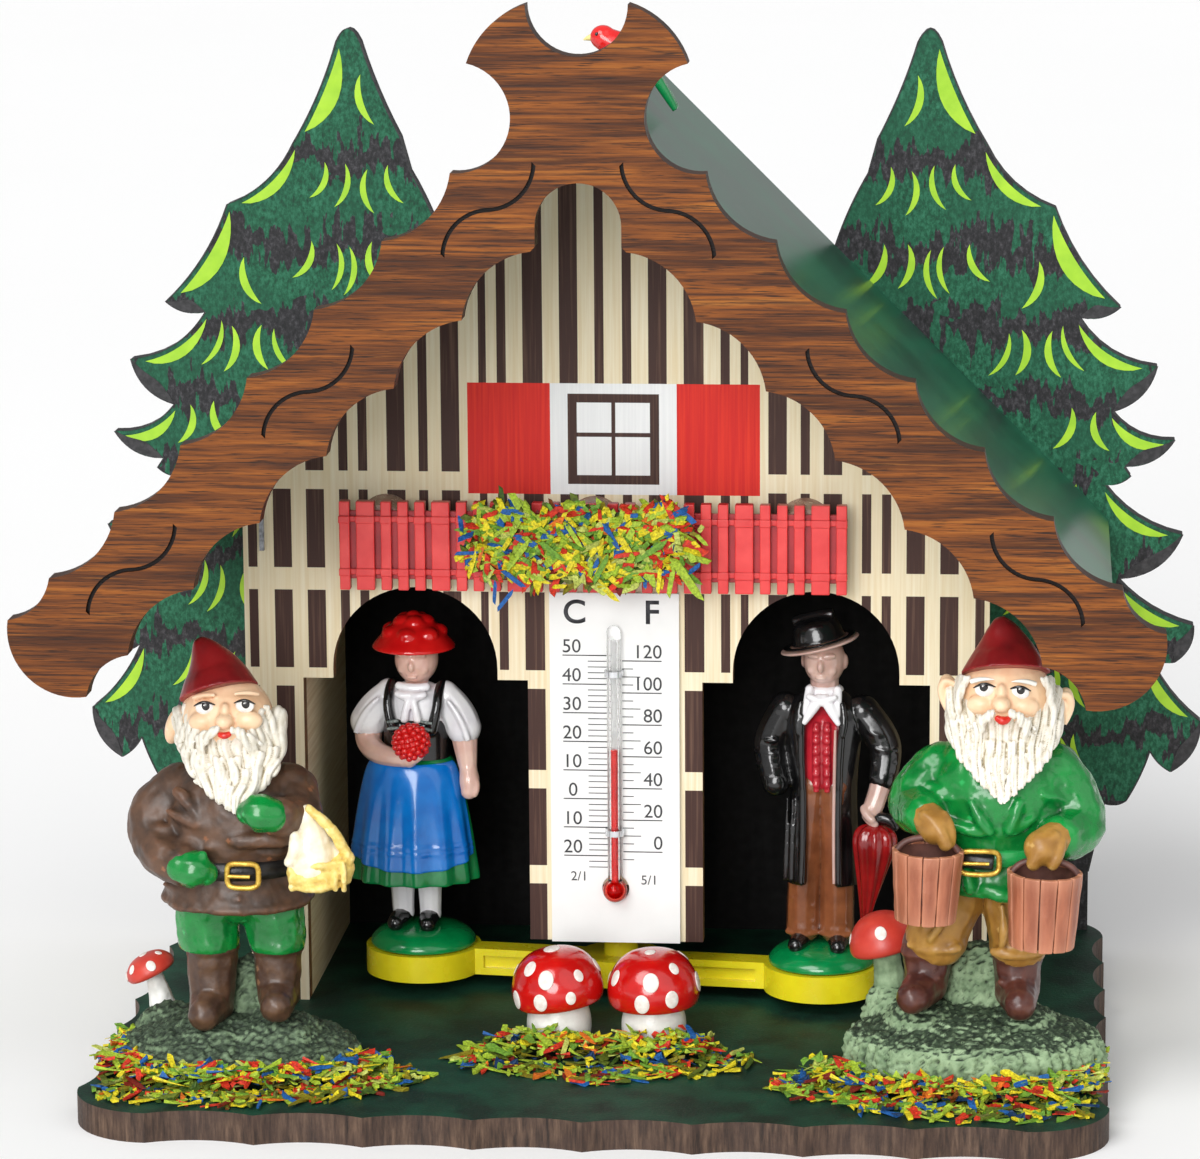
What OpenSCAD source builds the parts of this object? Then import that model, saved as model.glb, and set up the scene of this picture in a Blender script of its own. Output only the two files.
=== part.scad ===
// Weather house with two figures on a gut-hung carousel, a thermometer between the doors and a
// planted yard under a deep roof. Front faces -Y, +Z is up, the origin is the middle of the base.

/* [Base] */
// Width of the base plate over its side cusps
base_w = 152; // [148:1:170]
// Depth of the base plate over its front and rear cusps
base_d = 116; // [112:1:130]
// Thickness of the base plate
base_t = 4.5; // [3:0.5:7]
// Corner radius of the base plate
base_corner = 12; // [8:1:14]
// Number of scallops along the front and the rear edge
front_scallops = 8; // [6:1:10]
// Number of scallops along each side edge
side_scallops = 6; // [4:1:8]
// Depth of one scallop of the base plate
base_scallop = 1.8; // [1:0.1:2.4]

/* [House] */
// Thickness of the plywood walls
wall_t = 3; // [2.4:0.1:4]
// Width of the front wall
front_w = 115; // [110:1:120]
// How far the side walls' inner faces stand in from the ends of the front wall
wall_inset = 9; // [8:0.5:10]
// Distance from the front cusps of the base to the front wall
yard_d = 59.5; // [56:0.5:64]
// Depth of the house over its front and rear walls
house_d = 48.5; // [46:0.5:50]
// Width of the pillar between the doorways
pillar_w = 27; // [22:0.5:30]
// Height of the pillar's foot above the table
pillar_z = 15; // [14:0.5:18]
// Height of the step where a doorway narrows to its arch
door_step_z = 56.4; // [54:0.2:58]
// Radius of a doorway's arch
arch_r = 12.8; // [11:0.1:14]
// Height of the top of a doorway's arch
arch_top_z = 70.9; // [70:0.1:71.2]

/* [Roof] */
// Height of the ridge's top edge
ridge_z = 149.5; // [147:0.5:156]
// Thickness of the roof boards
roof_t = 3; // [2.4:0.1:4]
// Half the width of the roof, from the ridge to an eave
eave_x = 76; // [70:0.5:80]
// Overhang of the roof boards in front of the front wall
roof_overhang = 50.5; // [46:0.5:54]
// Width of the ridge beam
beam_w = 18; // [16:0.5:24]
// Height of the ridge beam's lower face
beam_z = 128; // [124:1:131]

/* [Bargeboards] */
// Thickness of the bargeboards
barge_t = 4; // [3:0.2:5]
// Width of a bargeboard above the roof surface, square to the slope
barge_above = 7.1; // [6:0.1:8]
// Width of a bargeboard below the roof surface, square to the slope
barge_below = 8.7; // [7.8:0.1:9.6]
// Distance between cusps along a bargeboard
barge_pitch = 13.85; // [13:0.05:14.5]
// Distance from the ridge to the first cusp along the slope
barge_first = 18.3; // [17.5:0.1:19]
// Number of full scallops on each edge of a bargeboard
barge_scallops = 6; // [4:1:6]
// Depth of one scallop of a bargeboard
barge_scallop = 2.4; // [1.5:0.1:3]
// Length of the short scallop beside an eave tip
tip_chord = 8.8; // [8:0.1:10]
// Radius of the round eave tip
tip_r = 9.75; // [9:0.05:10.5]
// Half width of the halved joint where the bargeboards cross
lap_half = 6.8; // [6.7:0.1:7]
// Length of one engraved scroll
scroll_len = 18.4; // [14:0.2:20]
// Width of the engraved scroll line
scroll_w = 0.6; // [0.4:0.1:1.2]
// Depth of the engraved scroll line
scroll_depth = 0.8; // [0.4:0.1:1.2]

/* [Firs] */
// Thickness of the fir boards
fir_t = 3; // [2.4:0.1:4]
// Distance of a fir's trunk line from the middle
fir_x = 47; // [45:0.5:50]
// Height of a fir's tip
fir_tip_z = 152.5; // [152:0.5:158]

/* [Thermometer] */
// Width of the scale plate
plate_w = 20; // [18:0.5:22]
// Length of the scale plate
plate_h = 55.5; // [53:0.5:56]
// Thickness of the scale plate
plate_t = 1; // [0.8:0.1:1.4]
// Outer diameter of the glass tube
tube_d = 2.2; // [2:0.1:2.6]
// Bore of the glass tube
tube_bore = 1.2; // [1:0.1:1.4]
// Diameter of the glass bulb
bulb_d = 3.8; // [3.4:0.1:4]
// Height of the bulb's middle above the foot of the plate
bulb_up = 8.7; // [7:0.1:10]
// Length of the tube above the bulb's middle
tube_len = 42; // [36:0.5:44]
// Length of the red column above the bulb's middle
column_len = 22.4; // [8:0.2:34]

/* [Balcony] */
// Width of a narrow picket
picket_narrow = 1.6; // [1.4:0.1:1.8]
// Width of a wide picket
picket_wide = 2.8; // [2.4:0.1:3]
// Gap between pickets
picket_gap = 1; // [0.8:0.1:1.2]
// Number of repeats of one wide and three narrow pickets
picket_repeats = 6; // [4:1:7]
// Height of the fence
fence_h = 13.8; // [12:0.2:14.4]
// Height of the fence's foot
fence_z = 71.5; // [71.4:0.1:73]
// Offset of the fence's middle to the left
fence_shift = 2.9; // [0:0.1:4]
// Thickness of the fence over its pickets
fence_t = 2.2; // [1.8:0.1:2.8]
// Distance the glue holds the fence off the front wall
fence_standoff = 3.8; // [2:0.1:5]

/* [Carousel] */
// Distance of the carousel's axis behind the front wall
axis_behind = 5; // [4.6:0.1:7]
// Distance from the axis to each figure
arm_r = 32; // [30:0.5:33]
// Diameter of the discs that carry the figures
disc_d = 18.2; // [16:0.2:19]
// Height of the carousel's arm and discs
arm_h = 4.2; // [3.4:0.1:5]
// Width of the carousel's arm
arm_w = 4.4; // [3.6:0.1:6]
// Gap between the base plate and the carousel
arm_clear = 2.2; // [1.5:0.1:2.6]
// Diameter of the hub disc
hub_d = 13; // [10:0.2:15]
// Diameter of the post that holds the gut
post_d = 5.4; // [4.4:0.1:6]
// Height of the post above the arm
post_h = 6.5; // [5:0.5:10]
// Angle by which the man stands forward of the doorway's line
rest_turn = 6.5; // [0:0.5:9]
// Diameter of the gut
gut_d = 1; // [0.8:0.1:1.4]
// Depth of the gut in the post and in the spindle
gut_socket = 6; // [4:0.5:8]
// Diameter of the adjuster spindle
spindle_d = 3; // [2.6:0.1:3.4]
// Radial clearance of the running fits
run_clear = 0.05; // [0.03:0.01:0.08]

/* [Yard] */
// Distance of the left gnome from the middle
left_gnome_x = 54.5; // [53:0.5:56]
// Distance of the right gnome from the middle
right_gnome_x = 56; // [55:0.5:57]
// Distance of the gnomes in front of the front wall
gnome_ahead = 30; // [28:0.5:31]
// Distance of the mushrooms in front of the front wall
mushroom_ahead = 18.5; // [18:0.5:22]
// Diameter of a mushroom's cap
cap_d = 13.8; // [12:0.2:14]
// Height of a mushroom's cap
cap_h = 8.6; // [7:0.2:10]
// Diameter of a mushroom's stem
stem_d = 8.6; // [7:0.2:9.2]
// Height of a mushroom's stem up to its cap
stem_h = 5.8; // [5:0.2:8]
// Height of the beds of wood shavings
shavings_h = 3.6; // [2.6:0.2:4.4]

/* [Hidden] */
$fn = 64;
eps = 0.01;
root2 = sqrt(2);

// Layers from the front of the yard to the back of the firs
base_front_y = -base_d / 2;
front_y = base_front_y + yard_d;
front_back_y = front_y + wall_t;
rear_back_y = front_y + house_d;
rear_front_y = rear_back_y - wall_t;
roof_front_y = front_y - roof_overhang;
barge_front_y = roof_front_y - barge_t;
axis_y = front_back_y + axis_behind;

// Roof lines: a point at x lies under the roof boards when |x| + z is below this
under_roof = ridge_z - roof_t * root2;

// Doorways
door_in = pillar_w / 2;
door_out = front_w / 2 - wall_inset;
door_mid = (door_in + door_out) / 2;
arch_z = arch_top_z - arch_r;

// Carousel levels
arm_z = base_t + arm_clear;
arm_top = arm_z + arm_h;
post_top = arm_top + post_h;
gut_r = gut_d / 2;
gut_bore = gut_r + run_clear;
gut_low = post_top - gut_socket;

// Adjuster levels
spindle_r = spindle_d / 2;
spindle_bore = spindle_r + run_clear;
shoulder_r = spindle_r + 0.8;
shoulder_bore = shoulder_r + 0.4;
seat_z = under_roof - 4;
seat_gap = 0.1;
spindle_low = beam_z - 4.5;
collar_h = 2;
bird_lift = 0.75;
spindle_top = ridge_z + bird_lift;
gut_high = spindle_low + gut_socket - 0.3;

// Thermometer places
plate_y = front_y - plate_t;
tube_y = plate_y - tube_d / 2;
bulb_z = pillar_z + bulb_up;
spirit_gap = 0.04;
clip_t = 0.35;
clip_w = 0.9;

// Balcony places
picket_period = picket_wide + 3 * picket_narrow + 4 * picket_gap;
fence_w = picket_repeats * picket_period + picket_wide + 2 * picket_narrow + 2 * picket_gap;
fence_left = -fence_shift - fence_w / 2;
fence_back_y = front_y - fence_standoff;
fence_front_y = fence_back_y - fence_t;

// Edge of the right fir from its inner foot over the tip to its outer foot: reach from the trunk line, height,
// and how far the edge that leads there bows outwards
fir_foot_in = -27;
fir_foot_out = 26.5;
fir_tip_w = 3.9;
fir_tip_rise = 2.1;
fir_edge = [[fir_foot_in, base_t, 0], [-27, 90, 0], [-15.5, 117, 0], [-10, 129.5, 0.4], [-8.5, 135, 0],
            [-2.2, fir_tip_z - fir_tip_rise, -0.4], [fir_tip_w - 2.2, fir_tip_z - fir_tip_rise, fir_tip_rise],
            [9, 134, -0.6], [20, 124, -1.5], [30.5, 108, -1.2], [24, 106.3, 0.9], [36.5, 98.5, -1.8],
            [29.5, 91, 1.5], [39.5, 86.5, -1.4], [31.5, 82, 1.3], [32.5, 80.5, 0], [28.5, 79, 0.5], [41, 71, -1.4],
            [30.7, 63.5, 2], [43, 56, -1.1], [40, 49.8, 1], [36, 51, 0.6], [44.4, 40, -0.9], [39.7, 31.5, 1.4],
            [36.3, 35, 0.4], [32.5, 26.5, 0.3], [29, 26, 0.5], [fir_foot_out, 14.5, 0], [fir_foot_out, base_t, 0]];
bow_steps = 6;

// Rocks: half the distance between the two cones of a rock, and their foot radius
left_mound_gap = 5.5;
left_mound_r = 13.5;
right_mound_gap = 6;
right_mound_r = 14;

// Staples
staple_wire = 0.7;
staple_crown = 5;
staple_edge = 3;
wall_staple_x = staple_edge - front_w / 2;
wall_staple_z = 79;
fir_staple_z = [20, 60, 88];
staple_short = 0.6;
staple_end_y = rear_front_y + staple_short;

// Yard levels and fits
left_mound_h = 6.5;
right_mound_h = 8;
bed_gap = 0.4;
mushroom_gap = 0.7;
mushroom_x = (cap_d + mushroom_gap) / 2;
gnome_y = front_y - gnome_ahead;
mushroom_y = front_y - mushroom_ahead;

// Radius of a circle with the given chord and sagitta
function chord_r(chord, sag) = chord * chord / (8 * sag) + sag / 2;

module ball(p, r) {
    translate(p) sphere(r, $fn = 18);
}

module limb(a, b, ra, rb) {
    hull() {
        translate(a) sphere(ra, $fn = 14);
        translate(b) sphere(rb, $fn = 14);
    }
}

// Extrudes a front-view outline (x to the right, z up) from y over the thickness t towards the rear
module board(y, t) {
    translate([0, y + t, 0]) rotate([90, 0, 0]) linear_extrude(t) children();
}

// Base plate

module base_outline() {
    pitch_x = (base_w - 2 * base_corner) / front_scallops;
    pitch_y = (base_d - 2 * base_corner) / side_scallops;
    rx = chord_r(pitch_x, base_scallop);
    ry = chord_r(pitch_y, base_scallop);
    difference() {
        union() {
            square([base_w, base_d - 2 * base_corner], center = true);
            square([base_w - 2 * base_corner, base_d], center = true);
            for (sx = [-1, 1], sy = [-1, 1])
                translate([sx * (base_w / 2 - base_corner), sy * (base_d / 2 - base_corner)])
                    circle(base_corner);
        }
        for (sy = [-1, 1], i = [0 : front_scallops - 1])
            translate([(i + 0.5 - front_scallops / 2) * pitch_x, sy * (base_d / 2 + rx - base_scallop)])
                circle(rx);
        for (sx = [-1, 1], i = [0 : side_scallops - 1])
            translate([sx * (base_w / 2 + ry - base_scallop), (i + 0.5 - side_scallops / 2) * pitch_y])
                circle(ry);
    }
}

module base_plate() {
    color("darkolivegreen") linear_extrude(base_t) base_outline();
}

// Walls

// Region below the roof boards, within a half width
module gable(half_w) {
    polygon([[-half_w, base_t], [half_w, base_t], [half_w, under_roof - half_w], [0, under_roof],
             [-half_w, under_roof - half_w]]);
}

module doorway() {
    translate([door_in, 0]) square([door_out - door_in, door_step_z]);
    translate([door_mid - arch_r, 0]) square([2 * arch_r, arch_z]);
    translate([door_mid, arch_z]) circle(arch_r);
}

module staple_legs(x, z, depth) {
    for (s = [-1, 1])
        translate([x - staple_wire / 2, 0, z + s * (staple_crown - staple_wire) / 2 - staple_wire / 2])
            cube([staple_wire, depth, staple_wire]);
}

module front_wall() {
    color("burlywood") difference() {
        board(front_y, wall_t) difference() {
            gable(front_w / 2);
            doorway();
            mirror([1, 0]) doorway();
            translate([-door_in - eps, 0]) square([pillar_w + 2 * eps, pillar_z]);
        }
        translate([0, front_y - eps, 0]) staple_legs(wall_staple_x, wall_staple_z, wall_t + 2 * eps);
    }
}

module wall_staple() {
    color("slategray") {
        translate([0, front_y - staple_wire, 0])
            staple_legs(wall_staple_x, wall_staple_z, wall_t + staple_wire);
        translate([wall_staple_x - staple_wire / 2, front_y - staple_wire, wall_staple_z - staple_crown / 2])
            cube([staple_wire, staple_wire, staple_crown]);
    }
}

module side_wall() {
    board(front_back_y, house_d - 2 * wall_t)
        polygon([[door_out, base_t], [door_out + wall_t, base_t], [door_out + wall_t, under_roof - door_out - wall_t],
                 [door_out, under_roof - door_out]]);
}

module left_wall() {
    color("tan") mirror([1, 0, 0]) side_wall();
}

module right_wall() {
    color("tan") side_wall();
}

module rear_wall() {
    color("#1b1b1b") difference() {
        board(rear_front_y, wall_t) gable(door_out + wall_t);
        translate([0, staple_end_y, 0]) fir_staple_legs(wall_t - staple_short + eps);
    }
}

// Roof

module spindle_way() {
    translate([0, axis_y, 0]) {
        translate([0, 0, beam_z - 1]) cylinder(h = seat_z - beam_z + 1 + eps, r = spindle_bore);
        translate([0, 0, seat_z]) cylinder(h = ridge_z - seat_z + 1, r = shoulder_bore);
    }
}

module ridge_beam() {
    half = beam_w / 2;
    color("peru") difference() {
        board(front_back_y, house_d - 2 * wall_t)
            polygon([[-half, beam_z], [half, beam_z], [half, under_roof - half], [0, under_roof],
                     [-half, under_roof - half]]);
        spindle_way();
    }
}

module roof_board() {
    slant = roof_t / root2;
    difference() {
        board(roof_front_y, roof_overhang + house_d)
            polygon([[0, under_roof], [0, ridge_z], [eave_x, ridge_z - eave_x],
                     [eave_x - slant, ridge_z - eave_x - slant]]);
        spindle_way();
    }
}

module left_roof() {
    color("darkgreen") mirror([1, 0, 0]) roof_board();
}

module right_roof() {
    color("darkgreen") roof_board();
}

// Bargeboards. On a slope, u runs down from the ridge and w stands square to the roof surface.

module on_slope() {
    translate([0, ridge_z]) rotate(-45) children();
}

// Straight part of a bargeboard from its horn to its round eave tip, with scallops on both edges
module barge_arm() {
    sr = chord_r(barge_pitch, barge_scallop);
    tr = chord_r(tip_chord, barge_scallop * 0.6);
    last = barge_first + barge_scallops * barge_pitch;
    tip_mid = (barge_above - barge_below) / 2;
    tip_u = last + tip_chord - sqrt(tip_r * tip_r - pow((barge_above + barge_below) / 2, 2));
    horn_r = 13.1;
    horn_u = -17.5;
    difference() {
        union() {
            intersection() {
                translate([-barge_first, -barge_below])
                    square([barge_first + tip_u, barge_above + barge_below]);
                union() {
                    translate([horn_u + horn_r, 0]) circle(horn_r);
                    translate([0, -barge_first]) square([tip_u, 2 * barge_first]);
                }
            }
            intersection() {
                translate([tip_u, tip_mid]) circle(tip_r);
                translate([tip_u, -barge_below]) square([tip_r, barge_above + barge_below]);
            }
        }
        for (i = [0 : barge_scallops - 1]) {
            mid = barge_first + (i + 0.5) * barge_pitch;
            translate([mid, barge_above + sr - barge_scallop]) circle(sr);
            translate([mid, -barge_below - sr + barge_scallop]) circle(sr);
        }
        for (s = [-1, 1])
            translate([last + tip_chord / 2,
                       (s > 0 ? barge_above : -barge_below) + s * (tr - barge_scallop * 0.6)]) circle(tr);
    }
}

// Both arms with the notch, the waists and the arch cut round the crossing
module barge_outline() {
    notch_z = ridge_z + 15.5;
    notch_r = 7.2;
    waist_x = 17.2;
    waist_r = 7.8;
    apex_z = ridge_z - 15.5;
    apex_r = 6.1;
    difference() {
        union() {
            on_slope() barge_arm();
            mirror([1, 0]) on_slope() barge_arm();
        }
        translate([0, notch_z]) circle(notch_r);
        for (s = [-1, 1]) translate([s * waist_x, ridge_z - 0.3]) circle(waist_r);
        translate([0, apex_z]) circle(apex_r);
        translate([-apex_r, apex_z - 3 * apex_r]) square([2 * apex_r, 3 * apex_r]);
    }
}

// Square that both bargeboards share, each with half its thickness
module crossing() {
    on_slope() square(2 * lap_half, center = true);
}

// Arm and horn of the right-hand board, on either side of the crossing
module own_arm() {
    on_slope() for (s = [-1, 1])
        translate([s * (lap_half + eave_x), (barge_above - barge_below) / 2])
            square([2 * eave_x, barge_above + barge_below + 2 * eps], center = true);
}

// One engraved scroll: two opposite arcs, from the middle of the scroll
module scroll() {
    half = scroll_len / 2;
    sag = 1.8;
    r = chord_r(half, sag);
    for (s = [-1, 1])
        translate([s * half / 2, s * (sag - r)]) intersection() {
            difference() {
                circle(r + scroll_w / 2);
                circle(r - scroll_w / 2);
            }
            translate([-half / 2, s > 0 ? 0 : -2 * r]) square([half, 2 * r]);
        }
}

module scrolls() {
    pitch = 2 * scroll_len;
    for (i = [0 : 2]) on_slope() translate([barge_first + i * pitch, -0.4]) scroll();
}

// Right-hand bargeboard; where the boards cross it keeps its front or its rear half
module bargeboard(front_half) {
    half = barge_t / 2;
    difference() {
        union() {
            board(barge_front_y, barge_t) intersection() {
                barge_outline();
                own_arm();
            }
            board(barge_front_y + (front_half ? 0 : half), half) intersection() {
                barge_outline();
                crossing();
            }
        }
        board(barge_front_y - eps, scroll_depth + eps) scrolls();
    }
}

module right_bargeboard() {
    color("saddlebrown") bargeboard(false);
}

module left_bargeboard() {
    color("saddlebrown") mirror([1, 0, 0]) bargeboard(true);
}

// Firs

// Points of an edge from p to q that bows to its left, without p
function bow(p, q, sag) = sag == 0 ? [q] : [for (i = [1 : bow_steps])
    let (t = i / bow_steps)
    p + t * (q - p) + 4 * sag * t * (1 - t) / norm(q - p) * [p[1] - q[1], q[0] - p[0]]];

// Place of one corner of the fir's edge
function fir_corner(i) = [fir_x + fir_edge[i][0], fir_edge[i][1]];

module fir_outline() {
    polygon([for (i = [1 : len(fir_edge) - 1]) each bow(fir_corner(i - 1), fir_corner(i), fir_edge[i][2]),
             fir_corner(0)]);
}

module fir_staple_legs(depth) {
    for (s = [-1, 1], z = fir_staple_z)
        staple_legs(s * (fir_x + fir_foot_in + 10), z, depth);
}

module fir_board() {
    difference() {
        board(rear_back_y, fir_t) fir_outline();
        translate([0, rear_back_y - eps, 0]) fir_staple_legs(fir_t + 2 * eps);
    }
}

module right_fir() {
    color("forestgreen") fir_board();
}

module left_fir() {
    color("forestgreen") mirror([1, 0, 0]) fir_board();
}

module fir_staples() {
    color("slategray") {
        translate([0, staple_end_y, 0]) fir_staple_legs(wall_t - staple_short + fir_t + staple_wire);
        for (s = [-1, 1], z = fir_staple_z)
            translate([s * (fir_x + fir_foot_in + 10) - staple_wire / 2, rear_back_y + fir_t, z - staple_crown / 2])
                cube([staple_wire, staple_wire, staple_crown]);
    }
}

// Balcony

// Left edge and width of each picket
function pickets() = concat(
    [[0, picket_narrow]],
    [for (i = [0 : picket_repeats], j = [0 : 3])
        let (x = picket_narrow + picket_gap + i * picket_period)
        if (i < picket_repeats || j < 2)
            [j == 0 ? x : x + picket_wide + picket_gap + (j - 1) * (picket_narrow + picket_gap),
             j == 0 ? picket_wide : picket_narrow]]);

module balcony_fence() {
    backing_t = fence_t / 2;
    rail_h = 1.2;
    rail_low = 2.2;
    backing_low = 1.6;
    color("crimson") {
        for (p = pickets())
            translate([fence_left + p[0], fence_front_y + 0.3, fence_z])
                cube([p[1], fence_t - 0.3, fence_h]);
        translate([fence_left, fence_back_y - backing_t, fence_z + backing_low])
            cube([fence_w, backing_t, fence_h - 2 * backing_low]);
        for (z = [rail_low, fence_h - rail_low - rail_h])
            translate([fence_left, fence_front_y, fence_z + z]) cube([fence_w, fence_t, rail_h]);
    }
}

module fence_glue() {
    color("ivory") for (x = [0.085, 0.5, 0.915])
        translate([fence_left + x * fence_w, fence_back_y, fence_z + fence_h - 4])
            rotate([-90, 0, 0]) cylinder(h = fence_standoff, r1 = 3.2, r2 = 4.2);
}

module balcony_flowers() {
    bunch_w = 37;
    bunch_h = 15;
    bunch_t = 5;
    color("yellowgreen") translate([-4.5, fence_front_y, fence_z + fence_h / 2 - 0.4])
        rotate([90, 0, 0]) linear_extrude(bunch_t) {
            square([bunch_w - bunch_h, bunch_h - 3], center = true);
            for (i = [-2 : 2])
                translate([i * (bunch_w - bunch_h) / 4, i % 2 == 0 ? 0.8 : -0.8]) circle(bunch_h / 2 - 0.8);
        }
}

// Thermometer

module thermometer_plate() {
    color("white") difference() {
        translate([-plate_w / 2, plate_y, pillar_z]) cube([plate_w, plate_t, plate_h]);
        translate([0, plate_y - eps, bulb_z]) rotate([-90, 0, 0])
            cylinder(h = plate_t + 2 * eps, r = bulb_d / 2 + 0.2);
    }
}

module thermometer_tube() {
    cavity = (bulb_d - tube_d + tube_bore) / 2;
    color("lightcyan", 0.4) translate([0, tube_y, bulb_z]) difference() {
        union() {
            sphere(bulb_d / 2);
            cylinder(h = tube_len - tube_d / 2, r = tube_d / 2);
            translate([0, 0, tube_len - tube_d / 2]) sphere(tube_d / 2);
        }
        sphere(cavity);
        cylinder(h = tube_len - tube_d, r = tube_bore / 2);
    }
}

module thermometer_spirit() {
    cavity = (bulb_d - tube_d + tube_bore) / 2;
    color("red") translate([0, tube_y, bulb_z]) {
        sphere(cavity - spirit_gap);
        cylinder(h = column_len, r = tube_bore / 2 - spirit_gap);
    }
}

module tube_clips() {
    inner = tube_d / 2 + 0.02;
    color("gainsboro") for (f = [0.22, 0.82])
        translate([0, tube_y, bulb_z + f * tube_len - clip_w / 2]) difference() {
            union() {
                cylinder(h = clip_w, r = inner + clip_t);
                translate([-inner - clip_t, 0, 0]) cube([2 * (inner + clip_t), plate_y - tube_y, clip_w]);
            }
            translate([0, 0, -eps]) cylinder(h = clip_w + 2 * eps, r = inner);
            translate([-inner, 0, -eps]) cube([2 * inner, tube_d, clip_w + 2 * eps]);
            translate([-tube_d, plate_y - tube_y, -eps]) cube([2 * tube_d, tube_d, clip_w + 2 * eps]);
        }
}

// Yard

module toadstool(p, r, h) {
    translate(p) {
        cylinder(h = h, r = r * 0.45, $fn = 18);
        translate([0, 0, h]) intersection() {
            sphere(r, $fn = 18);
            translate([-r, -r, -eps]) cube([2 * r, 2 * r, 2 * r]);
        }
    }
}

// Low rock under a gnome: two overlapping blunt cones
module mound(half_gap, r, h) {
    hull() for (s = [-1, 1]) translate([s * half_gap, 0, 0]) cylinder(h = h, r1 = r, r2 = r - 3.5, $fn = 28);
}

// Gnomes are cast with their rock; coordinates are from the rock's middle on the base plate

module boot(x, z, toe_y) {
    limb([x, 0, z + 4.5], [x, 0, z + 7], 3.6, 3.4);
    hull() {
        translate([x, toe_y, z]) cylinder(h = 3, r1 = 3.6, r2 = 2.8, $fn = 14);
        translate([x, 1.5, z]) cylinder(h = 4, r1 = 3.6, r2 = 3.2, $fn = 14);
    }
}

module gnome_torso(z_hem, z_waist, z_neck, r_hem) {
    translate([0, 0, z_hem]) cylinder(h = z_waist - z_hem, r1 = r_hem, r2 = r_hem - 1.4, $fn = 28);
    translate([0, 0, z_waist]) cylinder(h = z_neck - z_waist, r1 = r_hem - 1.4, r2 = r_hem - 4, $fn = 28);
}

module gnome_head(p, tip, r) {
    ball(p, r);
    limb(p + [0, -2.5, -3.5], p + [0.4, -5, -8.5], r - 0.2, 4.6);
    limb(p + [0.4, -5, -8.5], p + [0.6, -6.6, -11.4], 4.6, 1.8);
    limb(p + [0, 0.5, 4.3], tip, r - 0.9, 0.8);
    for (s = [-1, 1]) limb(p + [s * 5, 0, -0.5], p + [s * 8.4, 0.5, 0], 1.6, 1.2);
}

module left_gnome() {
    z0 = left_mound_h;
    color("saddlebrown") translate([-left_gnome_x, gnome_y, base_t]) {
        mound(left_mound_gap, left_mound_r, z0);
        boot(-4, z0, -5.5);
        boot(5.9, z0, -4);
        limb([-4, 0, z0 + 7], [-4.4, 0, z0 + 16], 4, 4.8);
        limb([6, 0, z0 + 7], [5.2, 0, z0 + 16], 4, 4.8);
        gnome_torso(24.5, 31.5, 44, 10.8);
        limb([-8, 0, 40.5], [-12.2, -2, 35], 4.2, 4);
        limb([-12.2, -2, 35], [-5.8, -9, 31.5], 4, 3.2);
        limb([8, 0, 40.5], [9, -4, 37], 4.2, 4);
        limb([9, -4, 37], [6, -10.2, 40], 4, 3);
        gnome_head([-1.2, -1, 52], [-5.3, 0.5, 64.1], 7);
        limb([11.6, -8.5, 31.5], [14.4, -8.5, 32.4], 4, 4);
        limb([11.6, -8, 33], [11.2, -8, 38.6], 3.6, 2.6);
        toadstool([-15, 9, 0], 3.9, 9.6);
    }
}

module right_gnome() {
    z0 = right_mound_h;
    color("olivedrab") translate([right_gnome_x, gnome_y + 1, base_t]) {
        mound(right_mound_gap, right_mound_r, z0);
        boot(-7, z0, -4);
        boot(6.3, z0, -4.5);
        translate([3.2, 0, 0]) gnome_torso(26.5, 33.5, 48.5, 10.8);
        limb([-6, 0, z0 + 7], [-2.4, 0, z0 + 17], 4, 4.8);
        limb([6.6, 0, z0 + 7], [7.6, 0, z0 + 17], 4, 4.8);
        limb([-4.5, 0, 44.6], [-8.9, -2.5, 41], 4.2, 4);
        limb([-8.9, -2.5, 41], [-5.4, -9.5, 40.4], 4, 3);
        limb([-5.4, -9.5, 40.4], [-6, -9, 36], 2.2, 1.5);
        limb([11, 0, 44.6], [15.4, -2.5, 36.4], 4.2, 4);
        limb([15.4, -2.5, 36.4], [10.6, -9.5, 38], 4, 3);
        limb([10.6, -9.5, 38], [10, -9, 33], 2.2, 1.5);
        gnome_head([4.2, -1, 56.3], [3.3, 0.5, 68.8], 7);
        translate([-7.1, -11, 26]) cylinder(h = 10.6, r1 = 4, r2 = 4.9, $fn = 22);
        translate([9.9, -11.5, 22.4]) cylinder(h = 11.4, r1 = 4.3, r2 = 5.1, $fn = 22);
        toadstool([-13.9, 9.5, 0], 5.2, 15.6);
    }
}

module mushroom_stem(x) {
    translate([x, mushroom_y, base_t]) cylinder(h = stem_h, r1 = stem_d / 2, r2 = stem_d / 2 - 0.8);
}

module mushroom_cap(x) {
    r = cap_d / 2;
    brim = 1.2;
    translate([x, mushroom_y, base_t + stem_h]) rotate_extrude() intersection() {
        translate([0, brim]) union() {
            translate([0, -brim]) square([r - brim, brim]);
            intersection() {
                translate([0, cap_h - brim - chord_r(cap_d, cap_h - brim)])
                    circle(chord_r(cap_d, cap_h - brim));
                translate([0, 0]) square([r, cap_h]);
            }
            translate([r - brim, 0]) circle(brim);
        }
        square([r, cap_h]);
    }
}

module left_mushroom_stem() {
    color("floralwhite") mushroom_stem(-mushroom_x);
}

module right_mushroom_stem() {
    color("floralwhite") mushroom_stem(mushroom_x);
}

module left_mushroom_cap() {
    color("firebrick") mushroom_cap(-mushroom_x);
}

module right_mushroom_cap() {
    color("firebrick") mushroom_cap(mushroom_x);
}

// Footprint of a rock with the gap that the shavings keep from it
module rock_print(x, y, half_gap, r) {
    translate([x - half_gap, y]) circle(r);
    translate([x + half_gap, y]) circle(r);
    translate([x - half_gap, y - r]) square([2 * half_gap, 2 * r]);
}

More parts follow.
